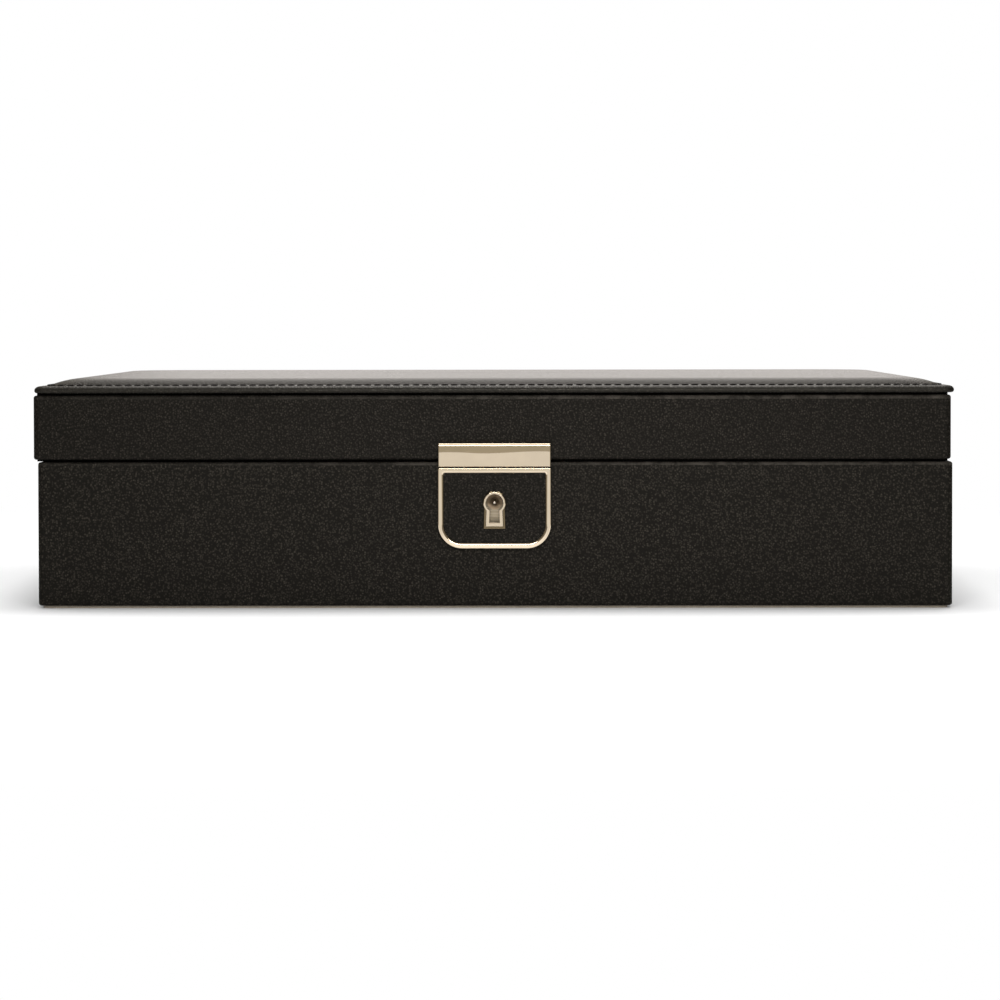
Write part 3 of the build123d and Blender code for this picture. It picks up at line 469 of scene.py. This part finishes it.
def fibreboard(name):
    """Sanded board of fine wood fibre."""
    shader = Shader(name)
    fibre = shader.noise(1500, detail=5.0, roughness=0.7, vector=shader.stretch(0.5, 0.5, 1.6))
    tone = shader.weighted((fibre, 0.7), (shader.noise(60, detail=3.0), 0.3))
    shader.colour(shader.mix(shader.between(tone, 0.35, 0.65), srgb(140, 108, 76), srgb(176, 143, 106)))
    shader.bump(fibre, 0.08 * MM, 0.5)
    shader.set(roughness=0.8, specular_ior_level=0.25)
    return shader.material


def greyboard(name):
    """Dense card pressed from grey pulp."""
    shader = Shader(name)
    pulp = shader.noise(900, detail=5.0, roughness=0.7)
    shader.colour(shader.mix(shader.between(pulp, 0.35, 0.65), srgb(120, 114, 104), srgb(150, 143, 131)))
    shader.bump(pulp, 0.06 * MM, 0.5)
    shader.set(roughness=0.9)
    return shader.material


def foam(name):
    """Upholstery foam with open cells."""
    shader = Shader(name)
    cell = shader.cells(1400)["Distance"]
    shader.colour(shader.mix(shader.between(cell, 0.1, 0.7), srgb(196, 188, 166), srgb(232, 226, 206)))
    shader.bump(cell, 0.3 * MM, 0.7)
    shader.set(roughness=1.0, specular_ior_level=0.1)
    return shader.material


def thread(name):
    """Waxed dark thread with the twist of its plies."""
    shader = Shader(name)
    twist = shader.noise(2600)
    shader.colour(shader.mix(shader.between(twist, 0.35, 0.65), srgb(8, 7, 6), srgb(24, 22, 19)))
    shader.bump(twist, 0.05 * MM, 0.6)
    shader.set(roughness=0.95, specular_ior_level=0.05)
    return shader.material


def case_leather(name):
    """The case's skin: a lighter copy of the leather than the lid's, as painted light, with a painted
    highlight along its rim.
    """
    # painted light: the case's leather is painted lighter than the lid frame's
    return leather(name, painted_crease_shade=(15, 14, 12), pebble=(36, 33, 29), painted_glint=(54, 50, 44),
                   painted_rim_highlights=((CASE_RIM - RIM_HIGHLIGHT_WIDTH, CASE_RIM),))


def lid_leather(name):
    """The lid frame's skin: a darker copy of the leather than the case's, as painted shade, with the grooves
    above and below it painted black as painted shade and a painted highlight along its top edge.
    """
    frame_foot = RAIL_LOW.z - LEATHER_THICKNESS
    frame_top = RAIL_HIGH.z + LEATHER_THICKNESS
    grooves = ((LID_SKIN_LOW.z - MM, frame_foot - 0.01 * MM), (frame_top + 0.01 * MM, LID_SKIN_HIGH.z + MM))
    # painted shade: the lid frame's leather is painted darker than the case's
    return leather(name, pebble=(31, 28, 25), painted_glint=(49, 45, 40), painted_groove_shade=grooves,
                   painted_rim_highlights=((frame_top - 1.2 * RIM_HIGHLIGHT_WIDTH, frame_top),))


def lid_top_leather(name):
    """The padded cover's leather, finer and polished on its top."""
    return leather(name, pebble=(28, 26, 23), painted_glint=(44, 41, 36), relief=0.04 * MM, smooth=0.28, rough=0.52,
                   specular=0.26, waviness=0.06, polished_from=LIP_TOP - 0.5 * MM)


LEATHER_TOP = lid_top_leather("black_leather_top")
SUEDE = suede("taupe_suede")
THREAD = thread("dark_thread")

SLOT_MATERIALS = {
    "leather": leather("black_leather"), "gold": gold("pale_gold"), "steel": steel("rolled_steel"),
    "suede": SUEDE, "felt": felt("taupe_felt"), "wood": fibreboard("fibreboard"),
    "card": greyboard("greyboard"), "foam": foam("foam"),
}
NODE_MATERIALS = {
    "lid_leather": lid_leather("black_leather_painted_groove_shade"),
    "case_leather": case_leather("black_leather_painted_rim_highlight"),
    "keyhole_collar": gold("pale_gold_collar", rough=0.04, painted_shade_behind=COLLAR_FACE + 0.35 * MM),
    "lock_cap": keyway_steel("keyway_steel"),
    "key_pin": pin_steel("pin_steel"),
}


def dress_cad_nodes():
    """Every CAD node takes its own material, or that of its slot."""
    for part in frame["record"]["subparts"]:
        materials = nodes[part["node"]].data.materials
        materials.clear()
        materials.append(NODE_MATERIALS.get(part["node"], SLOT_MATERIALS[part["material_slot"]]))


# ---------------------------------------------------------------------------------------------
# Mesh helpers
# ---------------------------------------------------------------------------------------------
def make_piece(name, points, faces, material, body):
    """A smooth mesh piece, its faces outwards, that rides on a body and takes the material it is given."""
    mesh = bpy.data.meshes.new(name)
    mesh.from_pydata([tuple(p) for p in points], [], faces)
    mesh.polygons.foreach_set("use_smooth", [True] * len(mesh.polygons))
    mesh.materials.append(material)
    work = bmesh.new()
    work.from_mesh(mesh)
    bmesh.ops.remove_doubles(work, verts=work.verts, dist=1e-7)
    bmesh.ops.recalc_face_normals(work, faces=work.faces)
    work.to_mesh(mesh)
    work.free()
    piece = bpy.data.objects.new(name, mesh)
    bpy.context.scene.collection.objects.link(piece)
    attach(piece, body)
    return piece


def rounded_rectangle(half_x, half_y, radius, spacing_from, spacing, corner_steps=10):
    """Points round a rectangle with round corners, anticlockwise from the front's left end.

    The number of points follows spacing_from, the half sizes of the outline that sets it, so that
    outlines inside one another have as many points.
    """
    count_x, count_y = (max(2, round(2 * half / spacing)) for half in spacing_from)
    radius = min(radius, half_x * 0.999, half_y * 0.999)
    points = []
    corners = ((1, -1, -90), (1, 1, 0), (-1, 1, 90), (-1, -1, 180))
    for (sign_x, sign_y, start), count in zip(corners, (count_x, count_y) * 2):
        centre_x, centre_y = sign_x * (half_x - radius), sign_y * (half_y - radius)
        angles = [math.radians(start + 90 * step / corner_steps) for step in range(corner_steps + 1)]
        arc = [(centre_x + radius * math.cos(a), centre_y + radius * math.sin(a)) for a in angles]
        last_x, last_y = points[-1] if points else (-(half_x - radius), -half_y)
        first_x, first_y = arc[0]
        for step in range(1, count):
            share = step / count
            points.append((last_x + (first_x - last_x) * share, last_y + (first_y - last_y) * share))
        points += arc
    return np.array(points)


def ring_faces(ring_count, per_ring):
    """Quads between neighbouring rings of as many points."""
    faces = []
    for ring in range(ring_count - 1):
        here, there = ring * per_ring, (ring + 1) * per_ring
        for step in range(per_ring):
            following = (step + 1) % per_ring
            faces.append((here + step, here + following, there + following, there + step))
    return faces


def first_ring(per_ring):
    """One face that closes a piece at its first ring."""
    return tuple(range(per_ring))[::-1]


def last_ring(ring_count, per_ring):
    """One face that closes a piece at its last ring."""
    start = (ring_count - 1) * per_ring
    return tuple(start + step for step in range(per_ring))


# ---------------------------------------------------------------------------------------------
# Padded top of the lid
# ---------------------------------------------------------------------------------------------
def panel_ring(inset, radius):
    """The lid panel's outline, a way in from its edge, about its own middle."""
    sizes = (PANEL_HALF_X, PANEL_HALF_Y)
    return rounded_rectangle(PANEL_HALF_X - inset, PANEL_HALF_Y - inset, radius, sizes, STITCH_PITCH / 4)


SEAM = panel_ring(SEAM_INSET, PANEL_CORNER + SEAM_INSET)
SEAM_RUNS = np.linalg.norm(np.roll(SEAM, -1, axis=0) - SEAM, axis=1)
SEAM_LENGTH = SEAM_RUNS.sum()
SEAM_ALONG = np.concatenate([[0], np.cumsum(SEAM_RUNS)[:-1]])
STITCHES = round(SEAM_LENGTH / STITCH_PITCH)


def crown_share(way_in):
    """How much of the padding's height it has reached, a way in from the seam."""
    return 1 - (1 - min(way_in / CROWN_REACH, 1)) ** CROWN_POWER


def lip_steps():
    """The lip: turned in underneath, round at its foot and its top, and slightly swollen up to the seam."""
    steps = [(TURNED_IN, PANEL_FOOT, 0), (TURNED_IN / 2, PANEL_FOOT, 0), (LIP_FOOT_ROUND, PANEL_FOOT, 0)]
    for angle in map(math.radians, (30, 60, 90)):
        inset = LIP_FOOT_ROUND * (1 - math.sin(angle))
        steps.append((inset, PANEL_FOOT + LIP_FOOT_ROUND * (1 - math.cos(angle)), 0))
    steps.append((0, (PANEL_FOOT + LIP_FOOT_ROUND + LIP_TOP - LIP_ROUND_DOWN) / 2, 0))
    for angle in map(math.radians, range(0, 100, 10)):
        inset = LIP_ROUND_IN * (1 - math.cos(angle))
        steps.append((inset, LIP_TOP - LIP_ROUND_DOWN * (1 - math.sin(angle)), 0))
    flat_width = SEAM_INSET - SEAM_WIDTH - LIP_ROUND_IN
    for share in (0.2, 0.4, 0.6, 0.8):
        height = LIP_TOP + LIP_SWELL * math.sin(share * math.pi / 2)
        steps.append((LIP_ROUND_IN + flat_width * share, height, 0))
    return steps


def seam_steps():
    """The sewn groove, between the lip and the foot of the padding."""
    steps = []
    count = 8
    for number in range(count + 1):
        offset = SEAM_WIDTH * (2 * number / count - 1)
        ground = LIP_SWELL if offset < 0 else CROWN_HEIGHT * crown_share(offset)
        dip = 0.5 + 0.5 * math.cos(math.pi * offset / SEAM_WIDTH)
        steps.append((SEAM_INSET + offset, LIP_TOP + ground, dip))
    return steps


def crown_steps():
    """The padding: it rises from the seam, levels out and runs on to the panel's middle."""
    steps = []
    way_in = SEAM_WIDTH
    while way_in < CROWN_REACH:
        way_in = min(way_in * CROWN_RING_GROWTH + CROWN_RING_STEP, CROWN_REACH)
        steps.append((SEAM_INSET + way_in, LIP_TOP + CROWN_HEIGHT * crown_share(way_in), 0))
    level_from = steps[-1][0]
    level_to = PANEL_HALF_Y - MIDDLE_SLOT
    count = 9
    for number in range(1, count + 1):
        inset = level_from + (level_to - level_from) * (number / count)
        steps.append((inset, LIP_TOP + CROWN_HEIGHT, 0))
    return steps


def lid_cover():
    """The padded cover: a rounded lip, a sewn groove that dips at each stitch hole, and a crown.

    Each step of its section is a ring: its inset from the panel's edge, its height, and how much of the
    groove's depth it has.
    """
    ripple = 0.5 + 0.5 * np.cos(2 * math.pi * SEAM_ALONG * STITCHES / SEAM_LENGTH)
    steps = lip_steps() + seam_steps() + crown_steps()
    rings = []
    for inset, height, dip in steps:
        corner_growth = 1.0 if inset > LIP_ROUND_IN else 0.3
        ring = panel_ring(inset, PANEL_CORNER + inset * corner_growth)
        groove = SEAM_DEPTH * dip * (SEAM_SHALLOWS + SEAM_DIPS * ripple)
        from_middle = np.hypot(ring[:, 0] / PANEL_HALF_X, ring[:, 1] / PANEL_HALF_Y)
        dome = DOME * np.clip(1 - from_middle ** 2, 0, 1) if inset > SEAM_INSET + CROWN_REACH else 0
        rings.append(np.column_stack([
            ring[:, 0] + PANEL_MIDDLE.x, ring[:, 1] + PANEL_MIDDLE.y, height - groove + dome
        ]))
    faces = ring_faces(len(steps), len(SEAM))
    faces.append(last_ring(len(steps), len(SEAM)))
    piece = make_piece("lid_cover", np.vstack(rings), faces, LEATHER_TOP, "lid")
    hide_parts("lid_top_leather")


def tube(points, radius, sides=8):
    """Points and faces of a closed tube along a short path, with narrowed ends."""
    path = [Vector(p) for p in points]
    last = len(path) - 1
    rings = []
    for number, here in enumerate(path):
        ahead = (path[min(number + 1, last)] - path[max(number - 1, 0)]).normalized()
        side = ahead.cross(Vector((0, 0, 1))).normalized()
        up = side.cross(ahead)
        size = radius * (THREAD_END if number in (0, last) else 1.0)
        for step in range(sides):
            angle = 2 * math.pi * step / sides
            rings.append(here + side * math.cos(angle) * size + up * math.sin(angle) * size)
    faces = ring_faces(len(path), sides)
    faces += [first_ring(sides), last_ring(len(path), sides)]
    return rings, faces


def stitch_path(middle):
    """A stitch's line: it lies on the leather and dips into its two holes."""
    closed = np.vstack([SEAM, SEAM[:1]])
    lengths = np.append(SEAM_ALONG, SEAM_LENGTH)
    seat = LIP_TOP - STITCH_SUNK
    path = []
    for share in STITCH_SHARES:
        reach = (middle + share * STITCH_LENGTH) % SEAM_LENGTH
        x = np.interp(reach, lengths, closed[:, 0])
        y = np.interp(reach, lengths, closed[:, 1])
        lift = THREAD_RADIUS * (1.0 - STITCH_DIP * abs(share) ** STITCH_DIP_POWER)
        path.append((x + PANEL_MIDDLE.x, y + PANEL_MIDDLE.y, seat + lift))
    return path


def lid_stitching():
    """One short dark stitch per pitch, all the way round the seam."""
    pitch = SEAM_LENGTH / STITCHES
    dice = random.Random(7)
    points, faces = [], []
    for number in range(STITCHES):
        middle = (number + 0.5) * pitch + dice.uniform(-STITCH_WANDER, STITCH_WANDER) * pitch
        ring, quads = tube(stitch_path(middle), THREAD_RADIUS)
        start = len(points)
        points += ring
        faces += [tuple(start + corner for corner in face) for face in quads]
    make_piece("lid_stitching", points, faces, THREAD, "lid")


# ---------------------------------------------------------------------------------------------
# Pads in the tray
# ---------------------------------------------------------------------------------------------
def pad_section(depth):
    """The pad's section as (inset, share of the height) steps, from its foot to its middle."""
    steps = [*PAD_SIDE, (PAD_EDGE, PAD_EDGE_SHARE)]
    for share in (0.05, 0.12, 0.2, 0.3, 0.42, 0.56, 0.72, 0.88, 1.0):
        rise = PAD_EDGE_SHARE + (1 - PAD_EDGE_SHARE) * (1 - (1 - share) ** 2)
        steps.append((PAD_EDGE + PAD_CROWN_REACH * share, rise))
    inner = PAD_EDGE + PAD_CROWN_REACH
    steps += [(inner + (depth - inner) * share, 1.0) for share in (0.3, 0.6, 0.9)]
    return steps


def cushion(low, high, phase):
    """Points and faces of a stuffed pad that fills a box.

    It is crowned, drawn in between its corners and puckered along its edge.
    """
    middle = (low + high) / 2
    half = ((high - low) / 2).to_2d()
    rings = []
    for inset, rise in pad_section(min(half)):
        corner = PAD_CORNER + inset * PAD_CORNER_GROWTH
        ring = rounded_rectangle(half.x - inset, half.y - inset, corner, half, PAD_SPACING, corner_steps=6)
        along = np.cumsum(np.linalg.norm(np.roll(ring, -1, axis=0) - ring, axis=1))
        puckers = round(along[-1] / PUCKER_PITCH)
        wave = 0.5 + 0.5 * np.sin(2 * math.pi * along * puckers / along[-1] + phase)
        fade = max(0.0, 1 - inset / PUCKER_REACH) if rise > PUCKERED_ABOVE else 0.0
        bow_x = np.clip(1 - (ring[:, 0] / half.x) ** 2, 0, 1)
        bow_y = np.clip(1 - (ring[:, 1] / half.y) ** 2, 0, 1)
        x = ring[:, 0] * (1 - PAD_DRAW_IN / half.x * bow_y)
        y = ring[:, 1] * (1 - PAD_DRAW_IN / half.y * bow_x)
        z = low.z + (high.z - low.z) * rise - PUCKER_DEPTH * fade * wave
        rings.append(np.column_stack([x + middle.x, y + middle.y, z]))
    per_ring = len(rings[0])
    faces = ring_faces(len(rings), per_ring)
    faces += [last_ring(len(rings), per_ring), first_ring(per_ring)]
    return np.vstack(rings), faces


def solid_boxes(node):
    """The box of each separate solid in a node, row by row from the front, each row from the left."""
    work = bmesh.new()
    work.from_mesh(nodes[node].data)
    bmesh.ops.remove_doubles(work, verts=work.verts, dist=1e-6)
    left = set(work.verts)
    boxes = []
    while left:
        stack = [left.pop()]
        low, high = stack[0].co.copy(), stack[0].co.copy()
        while stack:
            vert = stack.pop()
            low = Vector(map(min, low, vert.co))
            high = Vector(map(max, high, vert.co))
            for edge in vert.link_edges:
                other = edge.other_vert(vert)
                if other in left:
                    left.remove(other)
                    stack.append(other)
        boxes.append((low, high))
    work.free()
    return sorted(boxes, key=lambda box: (round(box[0].y, 4), box[0].x))


def tray_pads():
    """A stuffed pad in place of each plain one, in the cells and in the long compartment."""
    for node in ("cell_pads", "long_pad"):
        for number, (low, high) in enumerate(solid_boxes(node)):
            points, faces = cushion(low, high, number)
            name = f"cell_cushion_{number + 1}" if node == "cell_pads" else "long_cushion"
            piece = make_piece(name, points, faces, SUEDE, "case")
            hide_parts(node)


# ---------------------------------------------------------------------------------------------
# Broken edges on the CAD nodes
# ---------------------------------------------------------------------------------------------
# The width of the rounded edge, in millimetres, by how the node's name starts
SOFT_EDGED = {
    "tray_liner": 0.6, "tray_divider": 0.5, "drawer_dividers": 0.5, "drawer_lining": 0.25, "lid_lining": 0.3,
    "drawer_sides": 0.3, "drawer_end": 0.3, "base_felt": 0.2, "keyhole_collar": 0.12,
}
SHARP_FROM = math.radians(50)


def soften_edges():
    """Wrapped, covered and sanded pieces get the round edges that real ones have."""
    for name, piece in nodes.items():
        width = next((value for start, value in SOFT_EDGED.items() if name.startswith(start)), None)
        if width is None:
            continue
        weld = piece.modifiers.new("weld", "WELD")
        weld.merge_threshold = 1e-6
        bevel = piece.modifiers.new("edge", "BEVEL")
        bevel.width = width * MM
        bevel.segments = 3
        bevel.limit_method = "ANGLE"
        bevel.angle_limit = SHARP_FROM


# ---------------------------------------------------------------------------------------------
# Camera
# ---------------------------------------------------------------------------------------------
CAMERA_AT = Vector((12.82, -1128.16, 90.35)) * MM
CAMERA_TURNED_LEFT = math.radians(0.6146)
CAMERA_TILTED_UP = math.radians(-1.5836)
CAMERA_ROLLED = math.radians(-0.088)
CAMERA_LENS = 119.62
CAMERA_SHIFT_Y = -0.09


def camera():
    """The photograph's view: from just above the lid, a little to the right of the box's middle."""
    flat = math.cos(CAMERA_TILTED_UP)
    ahead = Vector((
        -math.sin(CAMERA_TURNED_LEFT) * flat, math.cos(CAMERA_TURNED_LEFT) * flat, math.sin(CAMERA_TILTED_UP)
    ))
    level = Vector((math.cos(CAMERA_TURNED_LEFT), math.sin(CAMERA_TURNED_LEFT), 0))
    upright = level.cross(ahead)
    right = level * math.cos(CAMERA_ROLLED) + upright * math.sin(CAMERA_ROLLED)
    up = upright * math.cos(CAMERA_ROLLED) - level * math.sin(CAMERA_ROLLED)
    data = bpy.data.cameras.new("camera")
    data.sensor_width = 36
    data.lens = CAMERA_LENS
    data.shift_y = CAMERA_SHIFT_Y
    data.clip_start, data.clip_end = 0.01, 50
    eye = bpy.data.objects.new("camera", data)
    bpy.context.scene.collection.objects.link(eye)
    eye.matrix_world = Matrix.Translation(CAMERA_AT) @ Matrix((right, up, -ahead)).transposed().to_4x4()
    bpy.context.scene.camera = eye


# ---------------------------------------------------------------------------------------------
# Studio: a white table that ends behind the camera, a white backdrop and soft lamps
# ---------------------------------------------------------------------------------------------
WHITE = (1, 1, 1)
TABLE_FRONT = -1.309
TABLE_BACK = 3.0
TABLE_HALF_WIDTH = 1.0
TABLE_LIT = (0.88, 0.88, 0.88)       # as what throws light back on the box
TABLE_SEEN = (0.95, 0.95, 0.95)      # as what the camera sees in the shadow
TABLE_SIDES = (0.3, 0.28, 0.23)      # as what metal mirrors from far out to either side
TABLE_SIDES_FROM = (0.1, 0.3)        # from the box's middle: where its sides start and are full
SHADOW_REACH = (0.28, 0.5)           # from the box's middle: where its shadow starts to fade and is gone
ROOM = (0.49, 0.465, 0.395)          # the mirrored room low in front of the box
ROOM_SIDES = (0.22, 0.2, 0.17)       # to either side
SOFTBOX = (1.0, 0.945, 0.9)          # and behind and above it
ROOM_SIDES_FROM = (0.1, 0.17)        # how far to the side a ray points where the sides start
SOFTBOX_FROM = math.radians(30)      # how high the bright ceiling starts in front of the box
SOFTBOX_EDGE = (-0.12, 0.12)         # how soft its edge is
FILL_FRONT = 0.32                    # the soft light from the front
FILL_BACK = 1.0                      # and from behind
FILL_FADES = (-0.4, 0.5)             # how far to the back a ray points where one goes over into the other


def table_material():
    """White, with the box's shadow near the box, and darker far out to the sides in mirroring metal."""
    material = bpy.data.materials.new("white_table")
    material.use_nodes = True
    material.node_tree.nodes.clear()
    tree = Nodes(material.node_tree)
    where = tree.add("ShaderNodeTexCoord").outputs["Object"]
    away = tree.between(tree.vector_math("LENGTH", where), *SHADOW_REACH)
    shaded = tree.plain("ShaderNodeBsdfDiffuse", TABLE_SEEN)
    seen = tree.mix_shaders(away, shaded, tree.plain("ShaderNodeEmission", WHITE))
    far_out = tree.between(tree.math("ABSOLUTE", tree.axis(where, "X")), *TABLE_SIDES_FROM)
    far_out = tree.math("MULTIPLY", far_out, tree.ray_is("Is Glossy Ray"))
    seen = tree.mix_shaders(far_out, seen, tree.plain("ShaderNodeEmission", TABLE_SIDES))
    seen_ray = tree.ray_is("Is Camera Ray", "Is Glossy Ray", "Is Transmission Ray")
    lit = tree.plain("ShaderNodeBsdfDiffuse", TABLE_LIT)
    output = tree.add("ShaderNodeOutputMaterial")
    tree.link(tree.mix_shaders(seen_ray, lit, seen), output.inputs["Surface"])
    return material


def table():
    """The table, which isn't part of the box."""
    mesh = bpy.data.meshes.new("table")
    corners = ((-TABLE_HALF_WIDTH, TABLE_FRONT), (TABLE_HALF_WIDTH, TABLE_FRONT),
               (TABLE_HALF_WIDTH, TABLE_BACK), (-TABLE_HALF_WIDTH, TABLE_BACK))
    mesh.from_pydata([(x, y, 0) for x, y in corners], [], [(0, 1, 2, 3)])
    mesh.materials.append(table_material())
    top = bpy.data.objects.new("table", mesh)
    bpy.context.scene.collection.objects.link(top)


def world():
    """White to the camera. Its light is weaker from the front, and metal mirrors a dim room low in front."""
    studio_world = bpy.data.worlds.new("studio")
    bpy.context.scene.world = studio_world
    studio_world.use_nodes = True
    studio_world.node_tree.nodes.clear()
    tree = Nodes(studio_world.node_tree)
    where = tree.add("ShaderNodeTexCoord").outputs["Generated"]
    softbox_axis = (0, math.sin(SOFTBOX_FROM), math.cos(SOFTBOX_FROM))
    overhead = tree.between(tree.vector_math("DOT_PRODUCT", where, softbox_axis), *SOFTBOX_EDGE)
    sideways = tree.between(tree.math("ABSOLUTE", tree.axis(where, "X")), *ROOM_SIDES_FROM)
    mirrored = tree.mix(sideways, tree.mix(overhead, ROOM, SOFTBOX), ROOM_SIDES)
    fill = tree.between(tree.axis(where, "Y"), *FILL_FADES, FILL_FRONT, FILL_BACK)
    light = tree.plain("ShaderNodeBackground", WHITE, fill)
    mirror = tree.plain("ShaderNodeBackground", mirrored, 1.0)
    light = tree.mix_shaders(tree.ray_is("Is Glossy Ray", "Is Transmission Ray"), light, mirror)
    backdrop = tree.plain("ShaderNodeBackground", WHITE, 1.0)
    light = tree.mix_shaders(tree.ray_is("Is Camera Ray"), light, backdrop)
    tree.link(light, tree.add("ShaderNodeOutputWorld").inputs["Surface"])


def lamp(name, position, target, size, power):
    """A soft rectangular lamp that the camera doesn't see."""
    data = bpy.data.lights.new(name, "AREA")
    data.shape = "RECTANGLE"
    data.size, data.size_y = size
    data.energy = power
    light = bpy.data.objects.new(name, data)
    bpy.context.scene.collection.objects.link(light)
    light.location = position
    light.visible_camera = False
    light.rotation_mode = "QUATERNION"
    light.rotation_quaternion = (Vector(target) - Vector(position)).to_track_quat("-Z", "Y")


def studio():
    """The table, the backdrop, a soft lamp overhead and a weak low one in front."""
    table()
    world()
    lamp("overhead", position=(0.03, 0.2, 1.45), target=(0.03, 0.05, 0), size=(0.6, 0.6), power=11)
    lamp("front", position=(0.03, -0.5, 0.2), target=(0.02, -0.09, 0.02), size=(0.26, 0.06), power=1.0)
    bpy.context.scene.view_settings.view_transform = "Standard"


# ---------------------------------------------------------------------------------------------
# The scene
# ---------------------------------------------------------------------------------------------
dress_cad_nodes()
soften_edges()
lid_cover()
lid_stitching()
tray_pads()
camera()
studio()
